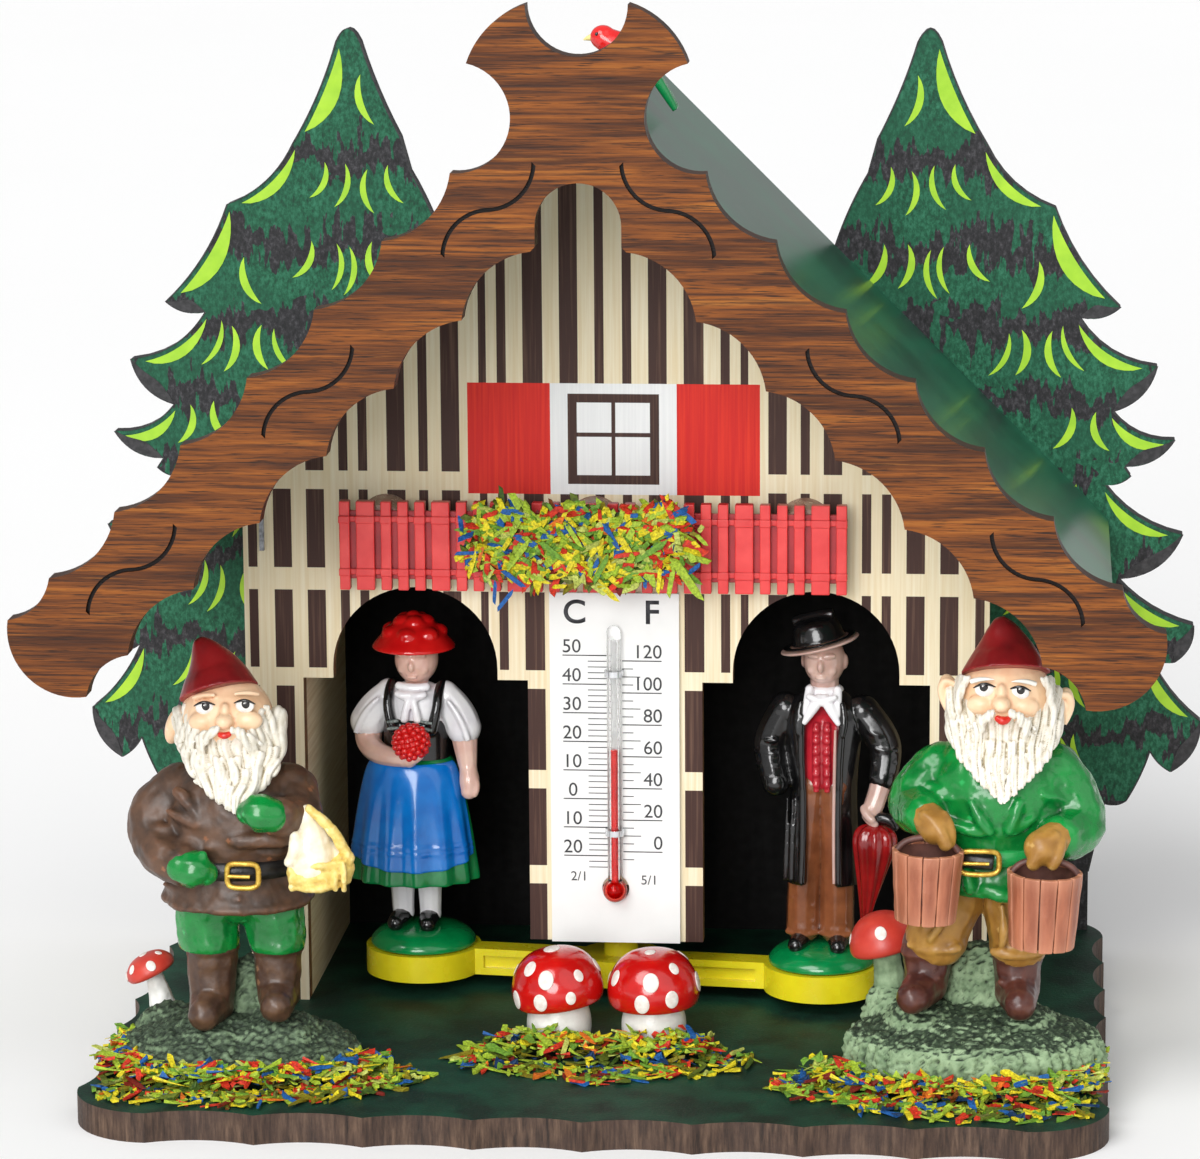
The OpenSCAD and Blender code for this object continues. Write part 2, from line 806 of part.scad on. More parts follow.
// Bed of shavings heaped along the yard's side of a rock, kept inside the base plate's edge
module shavings_bed(x, y, half_gap, r, from, to) {
    edge = 2.2;
    linear_extrude(shavings_h) difference() {
        intersection() {
            for (a = [from : 15 : to])
                translate([x + (half_gap + r + 1.5) * cos(a), y + (r + 1.5) * sin(a)]) circle(4.6);
            square([base_w - 2 * edge, base_d - 2 * edge], center = true);
        }
        rock_print(x, y, half_gap, r + bed_gap);
    }
}

module left_shavings() {
    color("yellowgreen") translate([0, 0, base_t])
        shavings_bed(-left_gnome_x, gnome_y, left_mound_gap, left_mound_r, 165, 330);
}

module right_shavings() {
    color("yellowgreen") translate([0, 0, base_t])
        shavings_bed(right_gnome_x, gnome_y + 1, right_mound_gap, right_mound_r, 210, 360);
}

module front_shavings() {
    color("yellowgreen") translate([0, mushroom_y, base_t]) linear_extrude(shavings_h) difference() {
        for (i = [-2 : 2])
            translate([i * 5.6, -7 - (2 - abs(i)) * 1.6]) circle(5.4);
        for (s = [-1, 1]) translate([s * mushroom_x, 0]) circle(stem_d / 2 + bed_gap);
    }
}

// Adjuster

module adjuster_spindle() {
    color("goldenrod") translate([0, axis_y, 0]) difference() {
        union() {
            translate([0, 0, spindle_low]) cylinder(h = spindle_top - spindle_low, r = spindle_r);
            translate([0, 0, seat_z + seat_gap]) cylinder(h = ridge_z - seat_z - seat_gap, r = shoulder_r);
        }
        translate([0, 0, spindle_low - eps]) cylinder(h = gut_socket + eps, r = gut_bore);
    }
}

module spindle_collar() {
    color("goldenrod") translate([0, axis_y, beam_z - seat_gap - collar_h]) difference() {
        cylinder(h = collar_h, r = spindle_r + 1.4);
        translate([0, 0, -eps]) cylinder(h = collar_h + 2 * eps, r = spindle_r);
    }
}

module bird() {
    chest = [1.2, 0, 4.1];
    rump = [5.4, 0, 0.4];
    head = [-1.9, 0, 5.1];
    color("red") translate([0, axis_y, ridge_z]) {
        hull() {
            translate([0, 0, bird_lift]) cylinder(h = 1, r = spindle_r, $fn = 18);
            translate(chest) sphere(1.5, $fn = 14);
        }
        limb(chest, rump, 3, 1.9);
        limb(chest + [-1, 0, 0.8], head, 2.2, 2.3);
        limb(head + [-1.7, 0, 0], head + [-3, 0, -0.3], 0.8, 0.35);
        limb(rump, [9.3, 0, -5.7], 1.3, 0.6);
        for (s = [-1, 1]) {
            limb(rump + [0, 0.4 * s, 0], [9, 1.3 * s, -5.4], 1.2, 0.6);
            limb(chest + [0, 2.2 * s, 0.5], rump + [0.7, 1.7 * s, 0.5], 1.3, 0.7);
        }
    }
}

// Carousel, drawn with its arm along X about the axis and then turned to its rest angle

module on_carousel() {
    translate([0, axis_y, 0]) rotate(-rest_turn) children();
}

module gut_strand() {
    color("wheat") translate([0, axis_y, gut_low + 0.3]) cylinder(h = gut_high - gut_low - 0.3, r = gut_r);
}

module carousel_arm() {
    groove = 0.8;
    land = 1.1;
    color("gold") on_carousel() difference() {
        union() {
            translate([-arm_r, -arm_w / 2, arm_z]) cube([2 * arm_r, arm_w, arm_h]);
            for (s = [-1, 1]) translate([s * arm_r, 0, arm_z]) cylinder(h = arm_h, r = disc_d / 2);
            translate([0, 0, arm_z]) cylinder(h = arm_h, r = hub_d / 2);
            translate([0, 0, arm_top - eps]) cylinder(h = post_h + eps, r = post_d / 2);
        }
        for (s = [-1, 1], t = [-1, 1]) {
            run_in = hub_d / 2 + land;
            run_out = arm_r - disc_d / 2 - land;
            translate([s > 0 ? run_in : -run_out, t > 0 ? arm_w / 2 - groove : -arm_w / 2 - eps, arm_z + land])
                cube([run_out - run_in, groove + eps, arm_h - 2 * land]);
        }
        translate([0, 0, gut_low]) cylinder(h = gut_socket + 1, r = gut_bore);
    }
}

module figure_turf() {
    turf_r = disc_d / 2 - 0.9;
    turf_h = 3;
    intersection() {
        translate([0, 0, turf_h - chord_r(2 * turf_r, turf_h)]) sphere(chord_r(2 * turf_r, turf_h), $fn = 40);
        cylinder(h = turf_h + 1, r = turf_r, $fn = 28);
    }
}

// Figures stand on their disc's top, facing -Y

module woman_figure() {
    color("royalblue") on_carousel() translate([-arm_r, 0, arm_top]) {
        figure_turf();
        for (s = [-1, 1]) {
            limb([s * 2.3, -1.2, 3.4], [s * 2.3, 0.6, 3.6], 1.5, 1.5);
            limb([s * 2.3, 0.5, 4.5], [s * 2.2, 0.5, 13], 1.6, 1.8);
            limb([s * 5.4, 0, 39.6], [s * 7.9, -0.3, 35.2], 2.8, 2.9);
        }
        translate([0, 0, 10.8]) cylinder(h = 19, r1 = 10, r2 = 5.4, $fn = 32);
        translate([0, 0, 29.5]) cylinder(h = 11, r1 = 5.2, r2 = 5, $fn = 24);
        limb([-8.4, -0.5, 32.8], [-0.6, -6, 31.4], 1.9, 1.6);
        limb([7.9, -0.5, 33], [8.5, -2, 26.4], 1.8, 1.7);
        ball([0, -6.4, 34], 2.9);
        translate([0, 0, 40]) cylinder(h = 4, r = 2, $fn = 16);
        ball([0, 0, 45.8], 4);
        translate([0, 0, 48]) cylinder(h = 1.2, r = 6.6, $fn = 28);
        ball([0, 0, 49.6], 4.2);
        for (a = [0 : 60 : 300]) ball([4 * cos(a), 4 * sin(a), 50.2], 2.2);
    }
}

module man_figure() {
    color("saddlebrown") on_carousel() translate([arm_r, 0, arm_top]) {
        figure_turf();
        for (s = [-1, 1]) {
            limb([s * 2.6, -2, 3.5], [s * 2.6, 0.6, 3.6], 1.6, 1.6);
            limb([s * 2.6, 0.4, 5.4], [s * 2.5, 0.3, 18], 2.6, 2.9);
        }
        translate([0, 0, 13]) cylinder(h = 16, r1 = 6.3, r2 = 5.6, $fn = 28);
        translate([0, 0, 29]) cylinder(h = 13, r1 = 5.6, r2 = 5, $fn = 28);
        limb([-5.6, 0, 40.2], [-8.3, -0.3, 33.4], 2.7, 2.3);
        limb([-8.3, -0.3, 33.4], [-6.4, -2.6, 28.6], 2.3, 1.9);
        limb([5.6, 0, 40.2], [9.9, -0.3, 34.4], 2.7, 2.5);
        limb([9.9, -0.3, 34.4], [9.2, -2, 30], 2.5, 2.2);
        limb([8.8, -2.4, 30], [7.9, -3.4, 25.4], 1.7, 1.6);
        limb([7.9, -3.8, 24.6], [10.8, -4.2, 24.2], 0.9, 1);
        translate([7.3, -4.1, 7.4]) rotate([0, 6.7, 0]) cylinder(h = 17, r1 = 0.6, r2 = 3.1, $fn = 18);
        translate([0, 0, 41.5]) cylinder(h = 4, r = 2, $fn = 16);
        ball([0.2, 0, 47.8], 4);
        translate([-0.4, 0.4, 50.4]) rotate([0, -14.5, 0]) {
            cylinder(h = 1, r = 6, $fn = 28);
            cylinder(h = 4.8, r1 = 4.2, r2 = 3.4, $fn = 24);
        }
    }
}

base_plate();
front_wall();
left_wall();
right_wall();
rear_wall();
ridge_beam();
left_roof();
right_roof();
left_bargeboard();
right_bargeboard();
left_fir();
right_fir();
wall_staple();
fir_staples();
balcony_fence();
fence_glue();
balcony_flowers();
thermometer_plate();
thermometer_tube();
thermometer_spirit();
tube_clips();
left_gnome();
right_gnome();
left_mushroom_stem();
left_mushroom_cap();
right_mushroom_stem();
right_mushroom_cap();
left_shavings();
right_shavings();
front_shavings();
adjuster_spindle();
spindle_collar();
bird();
gut_strand();
carousel_arm();
woman_figure();
man_figure();
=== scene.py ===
# %% [markdown]
# # A weather house
# The CAD frame holds every board, bore and joint. This lesson gives the house its looks: printed birch, stained
# bargeboards, painted figures and heaps of dyed shavings. Pieces are modelled in millimetres, then set down on
# the frame in metres.

# %% Load the frame
import math
import random

import bpy
from mathutils import Matrix, Vector


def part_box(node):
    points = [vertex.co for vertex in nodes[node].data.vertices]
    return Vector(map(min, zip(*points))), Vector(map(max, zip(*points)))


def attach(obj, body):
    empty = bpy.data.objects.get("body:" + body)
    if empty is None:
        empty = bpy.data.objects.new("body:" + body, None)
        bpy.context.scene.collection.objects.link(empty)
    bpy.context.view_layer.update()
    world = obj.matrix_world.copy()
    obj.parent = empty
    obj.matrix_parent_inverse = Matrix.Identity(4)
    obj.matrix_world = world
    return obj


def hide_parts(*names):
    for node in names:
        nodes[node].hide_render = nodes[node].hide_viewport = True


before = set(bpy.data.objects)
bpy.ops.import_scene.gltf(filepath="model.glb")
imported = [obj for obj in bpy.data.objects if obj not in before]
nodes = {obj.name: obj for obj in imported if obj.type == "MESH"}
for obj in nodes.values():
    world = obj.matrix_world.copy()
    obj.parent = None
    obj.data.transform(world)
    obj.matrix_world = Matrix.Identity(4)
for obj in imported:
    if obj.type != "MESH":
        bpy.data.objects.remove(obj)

MM = 1000.0  # millimetres in one metre of the frame
BASE_TOP = 4.5  # height of the base plate's top
scene = bpy.context.scene
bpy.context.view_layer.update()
print("loaded", len(nodes), "nodes")

# %% [markdown]
# ## Modelling tools
# A few habits keep the work short: pick an object, open it for editing, add a modifier and apply it. Most painted
# figures start as rods and balls that are joined, melted together by a voxel remesh and smoothed, the way a
# sculptor builds up clay.

# %% Tools for picking, editing and modifiers
def clear():
    if bpy.context.mode != "OBJECT":
        bpy.ops.object.mode_set(mode="OBJECT")
    bpy.ops.object.select_all(action="DESELECT")


def pick(*objects):
    clear()
    for o in objects:
        o.select_set(True)
    bpy.context.view_layer.objects.active = objects[0]
    return objects[0]


def edit(obj, select="SELECT"):
    pick(obj)
    bpy.ops.object.mode_set(mode="EDIT")
    bpy.ops.mesh.select_all(action=select)


def done():
    bpy.ops.object.mode_set(mode="OBJECT")
    return bpy.context.object


def use(obj, kind, **values):
    """Adds a modifier, sets it up and applies it."""
    pick(obj)
    m = obj.modifiers.new(kind.lower(), kind)
    for key, value in values.items():
        setattr(m, key, value)
    bpy.ops.object.modifier_apply(modifier=m.name)
    return obj


def fix_in_place():
    bpy.ops.object.transform_apply(location=True, rotation=True, scale=True)
    return bpy.context.object


def join(name, parts):
    """Several meshes as one object with that name."""
    pick(*parts)
    if len(parts) > 1:
        bpy.ops.object.join()
    bpy.context.object.name = name
    return bpy.context.object


def lay(obj, place, turn, size):
    """A copy with its own mesh, not yet fixed in place."""
    c = obj.copy()
    c.data = obj.data.copy()
    scene.collection.objects.link(c)
    c.location, c.rotation_euler = place, turn
    c.scale = size if hasattr(size, "__len__") else (size, size, size)
    return c


def copies(obj, places):
    """Copies of one modelled shape, each at its own (place, turn, size)."""
    made = [lay(obj, *p) for p in places]
    pick(*made)
    fix_in_place()
    return made


def move(place, *objects, turn=(0, 0, 0), size=(1, 1, 1)):
    """Moves, turns and sizes objects, and takes that into their meshes."""
    for o in objects:
        pick(o)
        o.location, o.rotation_euler, o.scale = place, turn, size
        fix_in_place()
    return objects[0]


def drop(*objects):
    for o in objects:
        bpy.data.objects.remove(o)


def smooth(obj):
    pick(obj)
    bpy.ops.object.shade_smooth()
    return obj


def tidy(obj):
    """Welds doubles and turns the faces outwards."""
    edit(obj)
    bpy.ops.mesh.remove_doubles(threshold=0.002)
    bpy.ops.mesh.normals_make_consistent(inside=False)
    return done()


print("tools ready")

# %% [markdown]
# ## Shapes
# Rods come from curves with a thickness, round things from a lathe. set_down is the last step for every piece: it
# takes the piece from millimetres to its place in the frame and lets it ride on a body.

# %% Tools for shapes
def draw(points, radii=None, depth=0.0, kind="NURBS", closed=False, flat=False, steps=6, sides=3):
    """A curve through points, made a mesh: a round rod if depth or radii are given, a filled shape if flat."""
    curve = bpy.data.curves.new("line", "CURVE")
    curve.dimensions = "2D" if flat else "3D"
    curve.fill_mode = "BOTH" if flat else "FULL"
    curve.resolution_u = steps
    if radii or depth:
        curve.bevel_depth = depth or 1.0
        curve.bevel_resolution = sides
        curve.use_fill_caps = True
    line = curve.splines.new(kind)
    line.points.add(len(points) - 1)
    for i, p in enumerate(points):
        line.points[i].co = (*p, 0, 1) if len(p) == 2 else (*p, 1)
        line.points[i].radius = radii[i] if radii else 1.0
    line.use_cyclic_u = closed
    if kind == "NURBS":
        line.order_u = min(3, len(points))
        line.use_endpoint_u = not closed
    o = bpy.data.objects.new("line", curve)
    scene.collection.objects.link(o)
    pick(o)
    bpy.ops.object.convert(target="MESH")
    return bpy.context.object


def ball(place, size, turn=(0, 0, 0), segments=24, rings=14):
    clear()
    size = size if hasattr(size, "__len__") else (size, size, size)
    turn = [math.radians(a) for a in turn]
    bpy.ops.mesh.primitive_uv_sphere_add(segments=segments, ring_count=rings, radius=1, location=place,
                                         rotation=turn, scale=size)
    return fix_in_place()


def limb(points, radii):
    """A rod with rounded ends, as three meshes for clay()."""
    return [draw(points, radii), ball(points[0], radii[0]), ball(points[-1], radii[-1])]


def clay(name, parts, voxel=0.4, rounds=5):
    """Melts parts into one closed skin and smooths it."""
    o = join(name, parts)
    use(o, "REMESH", mode="VOXEL", voxel_size=voxel)
    if rounds:
        use(o, "SMOOTH", factor=0.5, iterations=rounds)
    return smooth(o)


def roughen(obj, size, depth, kind="CLOUDS", stretch=None):
    """Pushes the skin in and out by a procedural pattern, size and depth in millimetres."""
    pattern = bpy.data.textures.new("pattern", kind)
    if hasattr(pattern, "noise_scale"):
        pattern.noise_scale = size
    guide = None
    extra = {}
    if stretch:
        guide = bpy.data.objects.new("guide", None)
        scene.collection.objects.link(guide)
        guide.scale = stretch
        bpy.context.view_layer.update()
        extra = {"texture_coords": "OBJECT", "texture_coords_object": guide}
    use(obj, "DISPLACE", texture=pattern, strength=depth, mid_level=0.5, **extra)
    if guide:
        drop(guide)
    return obj


def cast(mat, name, parts, voxel, rounds, rough=None):
    """A piece with its finish: parts melted into one skin, then roughened by (size, depth) if given."""
    o = clay(name, parts, voxel, rounds)
    return [(roughen(o, *rough) if rough else o, mat)]


def turned(profile, steps=48, angle=360.0, soft=True):
    """A profile of (radius, height) points spun about the Z axis, as on a lathe."""
    o = draw([(r, 0, z) for r, z in profile], kind="NURBS" if soft else "POLY", steps=5)
    edit(o)
    bpy.ops.mesh.spin(steps=steps, angle=math.radians(angle), center=(0, 0, 0), axis=(0, 0, 1))
    done()
    return smooth(tidy(o))


def set_down(obj, body, mat, place=(0, 0, 0), turn=0.0, stands_for=()):
    """Takes a finished piece from millimetres to its place in the frame, and lets it ride on a body."""
    move(Vector(place) / MM, obj, turn=(0, 0, math.radians(turn)), size=(1 / MM, 1 / MM, 1 / MM))
    obj.data.materials.clear()
    obj.data.materials.append(mat)
    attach(obj, body)
    if stands_for:
        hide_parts(*stands_for)
    return obj


def set_all(node, pieces, body, place, turn):
    """Sets down a figure's pieces with their finishes; the first one stands for the CAD node."""
    for k, (o, mat) in enumerate(pieces):
        set_down(o, body, mat, place, turn, [] if k else [node])
    print(node, "in", len(pieces), "pieces,", sum(len(o.data.polygons) for o, mat in pieces), "faces")


print("shape tools ready")

# %% [markdown]
# ## Material tools
# Every finish is a small graph of noises and ramps on object coordinates. A Recipe keeps the wiring short: it
# holds one material, and each call adds one node.

# %% Tools for materials
def rgb(r, g, b):
    """A screen colour from 0 to 255 as the linear colour that a shader takes."""
    return tuple(((c / 255 + 0.055) / 1.055) ** 2.4 for c in (r, g, b)) + (1,)


class Recipe:
    def __init__(self, name, **sockets):
        self.mat = bpy.data.materials.new(name)
        self.mat.use_nodes = True
        self.tree = self.mat.node_tree
        self.shader = self.tree.nodes["Principled BSDF"]
        for key, value in sockets.items():
            self.shader.inputs[key.replace("_", " ")].default_value = value
        self.place = self.node("TexCoord").outputs["Object"]

    def node(self, kind, inputs={}, **settings):
        n = self.tree.nodes.new("ShaderNode" + kind)
        for key, value in settings.items():
            setattr(n, key, value)
        for key, value in inputs.items():
            if isinstance(value, bpy.types.NodeSocket):
                self.tree.links.new(value, n.inputs[key])
            else:
                n.inputs[key].default_value = value
        return n

    def to(self, **outputs):
        for key, out in outputs.items():
            self.tree.links.new(out, self.shader.inputs[key.replace("_", " ")])

    def noise(self, size, detail=3.0, stretch=(1, 1, 1), rough=0.5):
        """Cloud noise with grains of that size in millimetres, drawn out by stretch."""
        scale = [MM / size / s for s in stretch]
        at = self.node("Mapping", {"Vector": self.place, "Scale": scale})
        n = self.node("TexNoise", {"Vector": at.outputs[0], "Scale": 1.0, "Detail": detail, "Roughness": rough})
        return n.outputs["Fac"]

    def ramp(self, value, stops, hard=False):
        n = self.node("ValToRGB", {"Fac": value})
        n.color_ramp.interpolation = "CONSTANT" if hard else "LINEAR"
        elements = n.color_ramp.elements
        while len(elements) < len(stops):
            elements.new(0.5)
        for e, (at, colour) in zip(elements, stops):
            e.position = at
            e.color = colour if hasattr(colour, "__len__") else (colour, colour, colour, 1)
        return n.outputs["Color"]

    def mix(self, share, a, b, how="MIX"):
        return self.node("Mix", {0: share, 6: a, 7: b}, data_type="RGBA", blend_type=how).outputs[2]

    def blend(self, value, low, high, a, b):
        """From a to b while value climbs from low to high."""
        return self.mix(self.ramp(value, [(low, 0.0), (high, 1.0)]), a, b)

    def math(self, how, a, b=0.0):
        return self.node("Math", {0: a, 1: b}, operation=how).outputs[0]

    def between(self, value, low, high):
        """1 where value lies between low and high, else 0."""
        above = self.math("GREATER_THAN", value, low)
        return self.math("MULTIPLY", above, self.math("LESS_THAN", value, high))

    def span(self, value, low, high):
        return self.node("MapRange", {"Value": value, "To Min": low, "To Max": high}).outputs[0]

    def relief(self, height, depth, strength=0.6):
        """Bump of that depth in millimetres."""
        n = self.node("Bump", {"Height": height, "Distance": depth / MM, "Strength": strength})
        self.to(Normal=n.outputs[0])

    def fade(self, value, start, end):
        """0 at start, 1 at end and beyond."""
        return self.node("MapRange", {"Value": value, "From Min": start, "From Max": end}).outputs[0]

    def mm(self, axis):
        """One coordinate in millimetres."""
        return self.math("MULTIPLY", self.node("SeparateXYZ", {0: self.place}).outputs[axis], MM)

    def facing(self, axis):
        """How far a face looks along an axis, from -1 to 1."""
        return self.node("SeparateXYZ", {0: self.node("NewGeometry").outputs["Normal"]}).outputs[axis]

    def bulge(self):
        """About 0.5 on flat skin, less in hollows and more on ridges."""
        return self.node("NewGeometry").outputs["Pointiness"]


def paint(name, colour, shade, size=2.0, rough=0.4, relief=0.06, wash=None, rub_and_highlight=None, streak=(1, 1, 1), **sockets):
    """Paint in clouds of two shades with uneven gloss; painted shade and a wash darken the hollows, a painted
    highlight and dry brushing lighten the ridges.
    """
    m = Recipe(name, **sockets)
    tint = m.blend(m.noise(size, 4, streak), 0.36, 0.66, rgb(*shade), rgb(*colour))
    # darker in the hollows: partly a wash of paint, partly painted shade
    if wash:
        tint = m.mix(m.ramp(m.bulge(), [(0.43, 1.0), (0.493, 0.0)]), tint, rgb(*wash))
    # lighter on the ridges: partly dry brushing, partly a painted highlight
    if rub_and_highlight:
        tint = m.mix(m.ramp(m.bulge(), [(0.51, 0.0), (0.60, 0.8)]), tint, rgb(*rub_and_highlight))
    m.to(Base_Color=tint, Roughness=m.span(m.noise(size * 0.6), rough * 0.75, rough * 1.3))
    m.relief(m.noise(size * 0.18, 5), relief)
    return m.mat


def dress(mat, *names):
    """Gives CAD nodes a finish through their material slots."""
    for n in names:
        slots = nodes[n].material_slots
        if not len(slots):
            nodes[n].data.materials.append(mat)
        for s in slots:
            s.material = mat


print("material tools ready")

# %% [markdown]
# ## Printed birch
# The front wall is birch plywood with a timber pattern printed on it. The stripes mirror about the middle, so one
# hard ramp on the distance from the middle draws them all, and a second ramp on the height leaves the pale rows
# out. Shutters and window are boxes in the same two coordinates.

# %% The front wall's print
# each stripe's distance from the middle and width, and the heights between which stripes run
STRIPES = [(1.95, 1.3), (6.6, 2.85), (12.2, 2.85), (16.9, 1.4), (20.0, 1.2), (25.0, 2.85), (29.2, 1.3),
           (33.4, 2.85), (38.6, 1.3), (41.6, 1.3), (46.1, 2.85), (51.2, 2.85), (55.9, 1.6)]
ROWS = [(0, 23.5), (26.4, 38.7), (41.8, 54.6), (57.7, 70.3), (73.4, 86.0), (88.8, 150)]


def striped(m, value, pairs, full):
    """1 inside each (low, high) pair of a coordinate that runs from 0 to full, else 0."""
    stops = [(0.0, 1.0 if pairs[0][0] <= 0 else 0.0)]
    for low, high in pairs:
        if low > 0:
            stops.append((low / full, 1.0))
        stops.append((high / full, 0.0))
    return m.ramp(m.math("DIVIDE", value, full), stops, hard=True)


m = Recipe("birch_print", Specular_IOR_Level=0.35)
side = m.math("ABSOLUTE", m.mm("X"))
up = m.mm("Z")
stripes = striped(m, side, [(c - w / 2, c + w / 2) for c, w in STRIPES], 60.0)
rows = striped(m, up, ROWS, 150.0)
grain = m.noise(0.5, 4, (1, 1, 40))
birch = m.blend(grain, 0.35, 0.7, rgb(234, 215, 176), rgb(249, 238, 211))
birch = m.mix(m.ramp(m.noise(9, 2, (1, 1, 4)), [(0.4, 0.0), (0.7, 0.4)]), birch, rgb(238, 220, 182))
brown = m.mix(m.ramp(grain, [(0.52, 0.0), (0.72, 0.55)]), rgb(66, 40, 33), rgb(122, 92, 76))
tint = m.mix(m.math("MULTIPLY", stripes, rows), birch, brown)
panel = m.math("MULTIPLY", m.math("LESS_THAN", side, 22.4), m.between(up, 85.7, 102.9))
shutter = m.blend(grain, 0.4, 0.75, rgb(214, 28, 22), rgb(236, 58, 36))
white = m.blend(grain, 0.4, 0.8, rgb(240, 240, 240), rgb(252, 252, 251))
window = m.mix(m.math("GREATER_THAN", side, 9.7), white, shutter)
frame_in = m.math("MULTIPLY", m.math("LESS_THAN", side, 7.0), m.between(up, 87.3, 101.3))
panes = m.math("ADD", m.between(up, 88.7, 94.65), m.between(up, 95.3, 99.95))
panes = m.math("MULTIPLY", panes, m.between(side, 0.3, 5.6))
window = m.mix(frame_in, window, m.mix(panes, brown, white))
tint = m.mix(panel, tint, window)
front = m.math("LESS_THAN", m.facing("Y"), -0.5)
cut = m.blend(m.noise(0.35, 3, (6, 1, 6)), 0.4, 0.6, rgb(96, 66, 40), rgb(158, 118, 76))
m.to(Base_Color=m.mix(front, cut, tint))
m.to(Roughness=m.span(grain, 0.5, 0.72))
m.relief(grain, 0.08, 0.5)
dress(m.mat, "front_wall")

# plain plywood for the side walls, black stain for the rear wall
m = Recipe("plywood", Specular_IOR_Level=0.3)
grain = m.noise(0.6, 4, (1, 30, 1))
layers = m.ramp(m.math("FRACT", m.mm("X")), [(0.0, 0.0), (0.5, 1.0)], hard=True)
tint = m.blend(grain, 0.35, 0.7, rgb(226, 204, 160), rgb(246, 231, 196))
edge = m.math("GREATER_THAN", m.math("ABSOLUTE", m.facing("Y")), 0.5)
layered = m.mix(layers, rgb(164, 130, 88), rgb(232, 210, 168))
m.to(Base_Color=m.mix(edge, tint, layered))
m.to(Roughness=m.span(grain, 0.55, 0.75))
m.relief(grain, 0.08, 0.5)
dress(m.mat, "left_wall", "right_wall", "ridge_beam")

dress(paint("black_stain", (20, 19, 19), (9, 9, 9), size=3, rough=0.8, relief=0.08, streak=(1, 1, 14),
            Specular_IOR_Level=0.2), "rear_wall")
print("walls dressed")

# %% [markdown]
# ## Stained wood and lacquer
# The bargeboards are walnut-stained with the grain lying level, so the noise is drawn out along X: broad bands of
# colour, thin dark pores and a fine relief under a thin varnish. Cut edges and the carved scrolls are burnt dark.

# %% Bargeboards, roof and base
m = Recipe("walnut", Coat_Weight=0.06, Coat_Roughness=0.3, Specular_IOR_Level=0.2)
broad = m.noise(2.5, 4, (17, 3, 1), 0.62)
fibre = m.noise(0.42, 5, (44, 3, 1), 0.65)
pores = m.noise(0.22, 3, (22, 3, 1), 0.6)
tint = m.ramp(broad, [(0.32, rgb(54, 26, 9)), (0.43, rgb(84, 43, 13)), (0.52, rgb(112, 60, 19)),
                      (0.60, rgb(134, 74, 22)), (0.72, rgb(156, 97, 37))])
tint = m.mix(m.ramp(fibre, [(0.38, 0.85), (0.52, 0.0)]), tint, rgb(52, 26, 12))
tint = m.mix(m.ramp(fibre, [(0.58, 0.0), (0.74, 0.55)]), tint, rgb(164, 104, 44))
tint = m.mix(m.ramp(pores, [(0.32, 0.9), (0.45, 0.0)]), tint, rgb(28, 16, 11))
facing = m.facing("Y")
rim = m.math("LESS_THAN", m.math("ABSOLUTE", facing), 0.5)
tint = m.mix(m.math("MULTIPLY", rim, 0.82), tint, rgb(46, 27, 17))
carved = m.math("MULTIPLY", m.between(m.mm("Y"), -52.7, -51.5), m.math("LESS_THAN", facing, -0.5))
m.to(Base_Color=m.mix(carved, tint, rgb(20, 12, 9)))
m.to(Roughness=m.span(fibre, 0.42, 0.66))
m.relief(m.mix(0.5, fibre, pores), 0.14, 0.7)
dress(m.mat, "left_bargeboard", "right_bargeboard")

m = Recipe("green_lacquer", Coat_Weight=0.5, Coat_Roughness=0.2, Specular_IOR_Level=0.4)
lines = m.noise(0.5, 3, (40, 1, 40))
cloud = m.noise(14, 3)
m.to(Base_Color=m.blend(cloud, 0.35, 0.65, rgb(14, 72, 52), rgb(30, 100, 74)))
m.to(Roughness=m.span(cloud, 0.36, 0.5))
m.relief(lines, 0.05, 0.6)
dress(m.mat, "left_roof", "right_roof")

m = Recipe("base_green", Specular_IOR_Level=0.35)
flock = m.noise(0.5, 4)
patch = m.noise(7, 4)
top = m.blend(patch, 0.38, 0.64, rgb(6, 36, 27), rgb(16, 66, 48))
top = m.mix(m.ramp(flock, [(0.55, 0.0), (0.75, 0.5)]), top, rgb(40, 92, 70))
bark = m.noise(0.7, 5, (1, 1, 9), 0.65)
edge = m.ramp(bark, [(0.32, rgb(34, 23, 17)), (0.5, rgb(70, 52, 41)), (0.72, rgb(104, 82, 66))])
edge = m.mix(m.ramp(m.noise(5, 3), [(0.4, 0.0), (0.7, 0.6)]), edge, rgb(58, 42, 36))
m.to(Base_Color=m.mix(m.math("GREATER_THAN", m.facing("Z"), 0.5), edge, top))
m.to(Roughness=m.span(flock, 0.45, 0.75))
m.relief(m.mix(0.5, flock, bark), 0.2, 0.6)
dress(m.mat, "base_plate")
print("boards dressed")

# %% [markdown]
# ## Small parts
# The rest of the CAD pieces keep their shape and get a finish: yellow plastic, wire, brass, gut, hot glue, and the
# thermometer's plate, glass and spirit. The glass is tinted at the bulb, where the red shines through.

# %% Plastic, metal, glue, glass and plate
dress(paint("yellow_plastic", (236, 220, 34), (220, 204, 24), size=6, rough=0.26, relief=0.02,
            Coat_Weight=0.3, Subsurface_Weight=0.12, Subsurface_Scale=0.002), "carousel_arm")
dress(paint("staple_steel", (150, 152, 156), (104, 106, 110), size=0.6, rough=0.32, relief=0.03,
            Metallic=1.0), "wall_staple", "fir_staples")
dress(paint("bright_clip", (236, 238, 240), (218, 220, 224), size=0.6, rough=0.16, relief=0.02,
            Metallic=0.7), "tube_clips")
dress(paint("brass_pin", (188, 150, 78), (140, 104, 48), size=0.8, rough=0.3, relief=0.02,
            Metallic=1.0), "adjuster_spindle", "spindle_collar")
dress(paint("gut", (226, 204, 150), (196, 166, 104), size=0.7, rough=0.3, relief=0.04, streak=(1, 1, 5),
            Subsurface_Weight=0.3, Subsurface_Scale=0.001), "gut_strand")
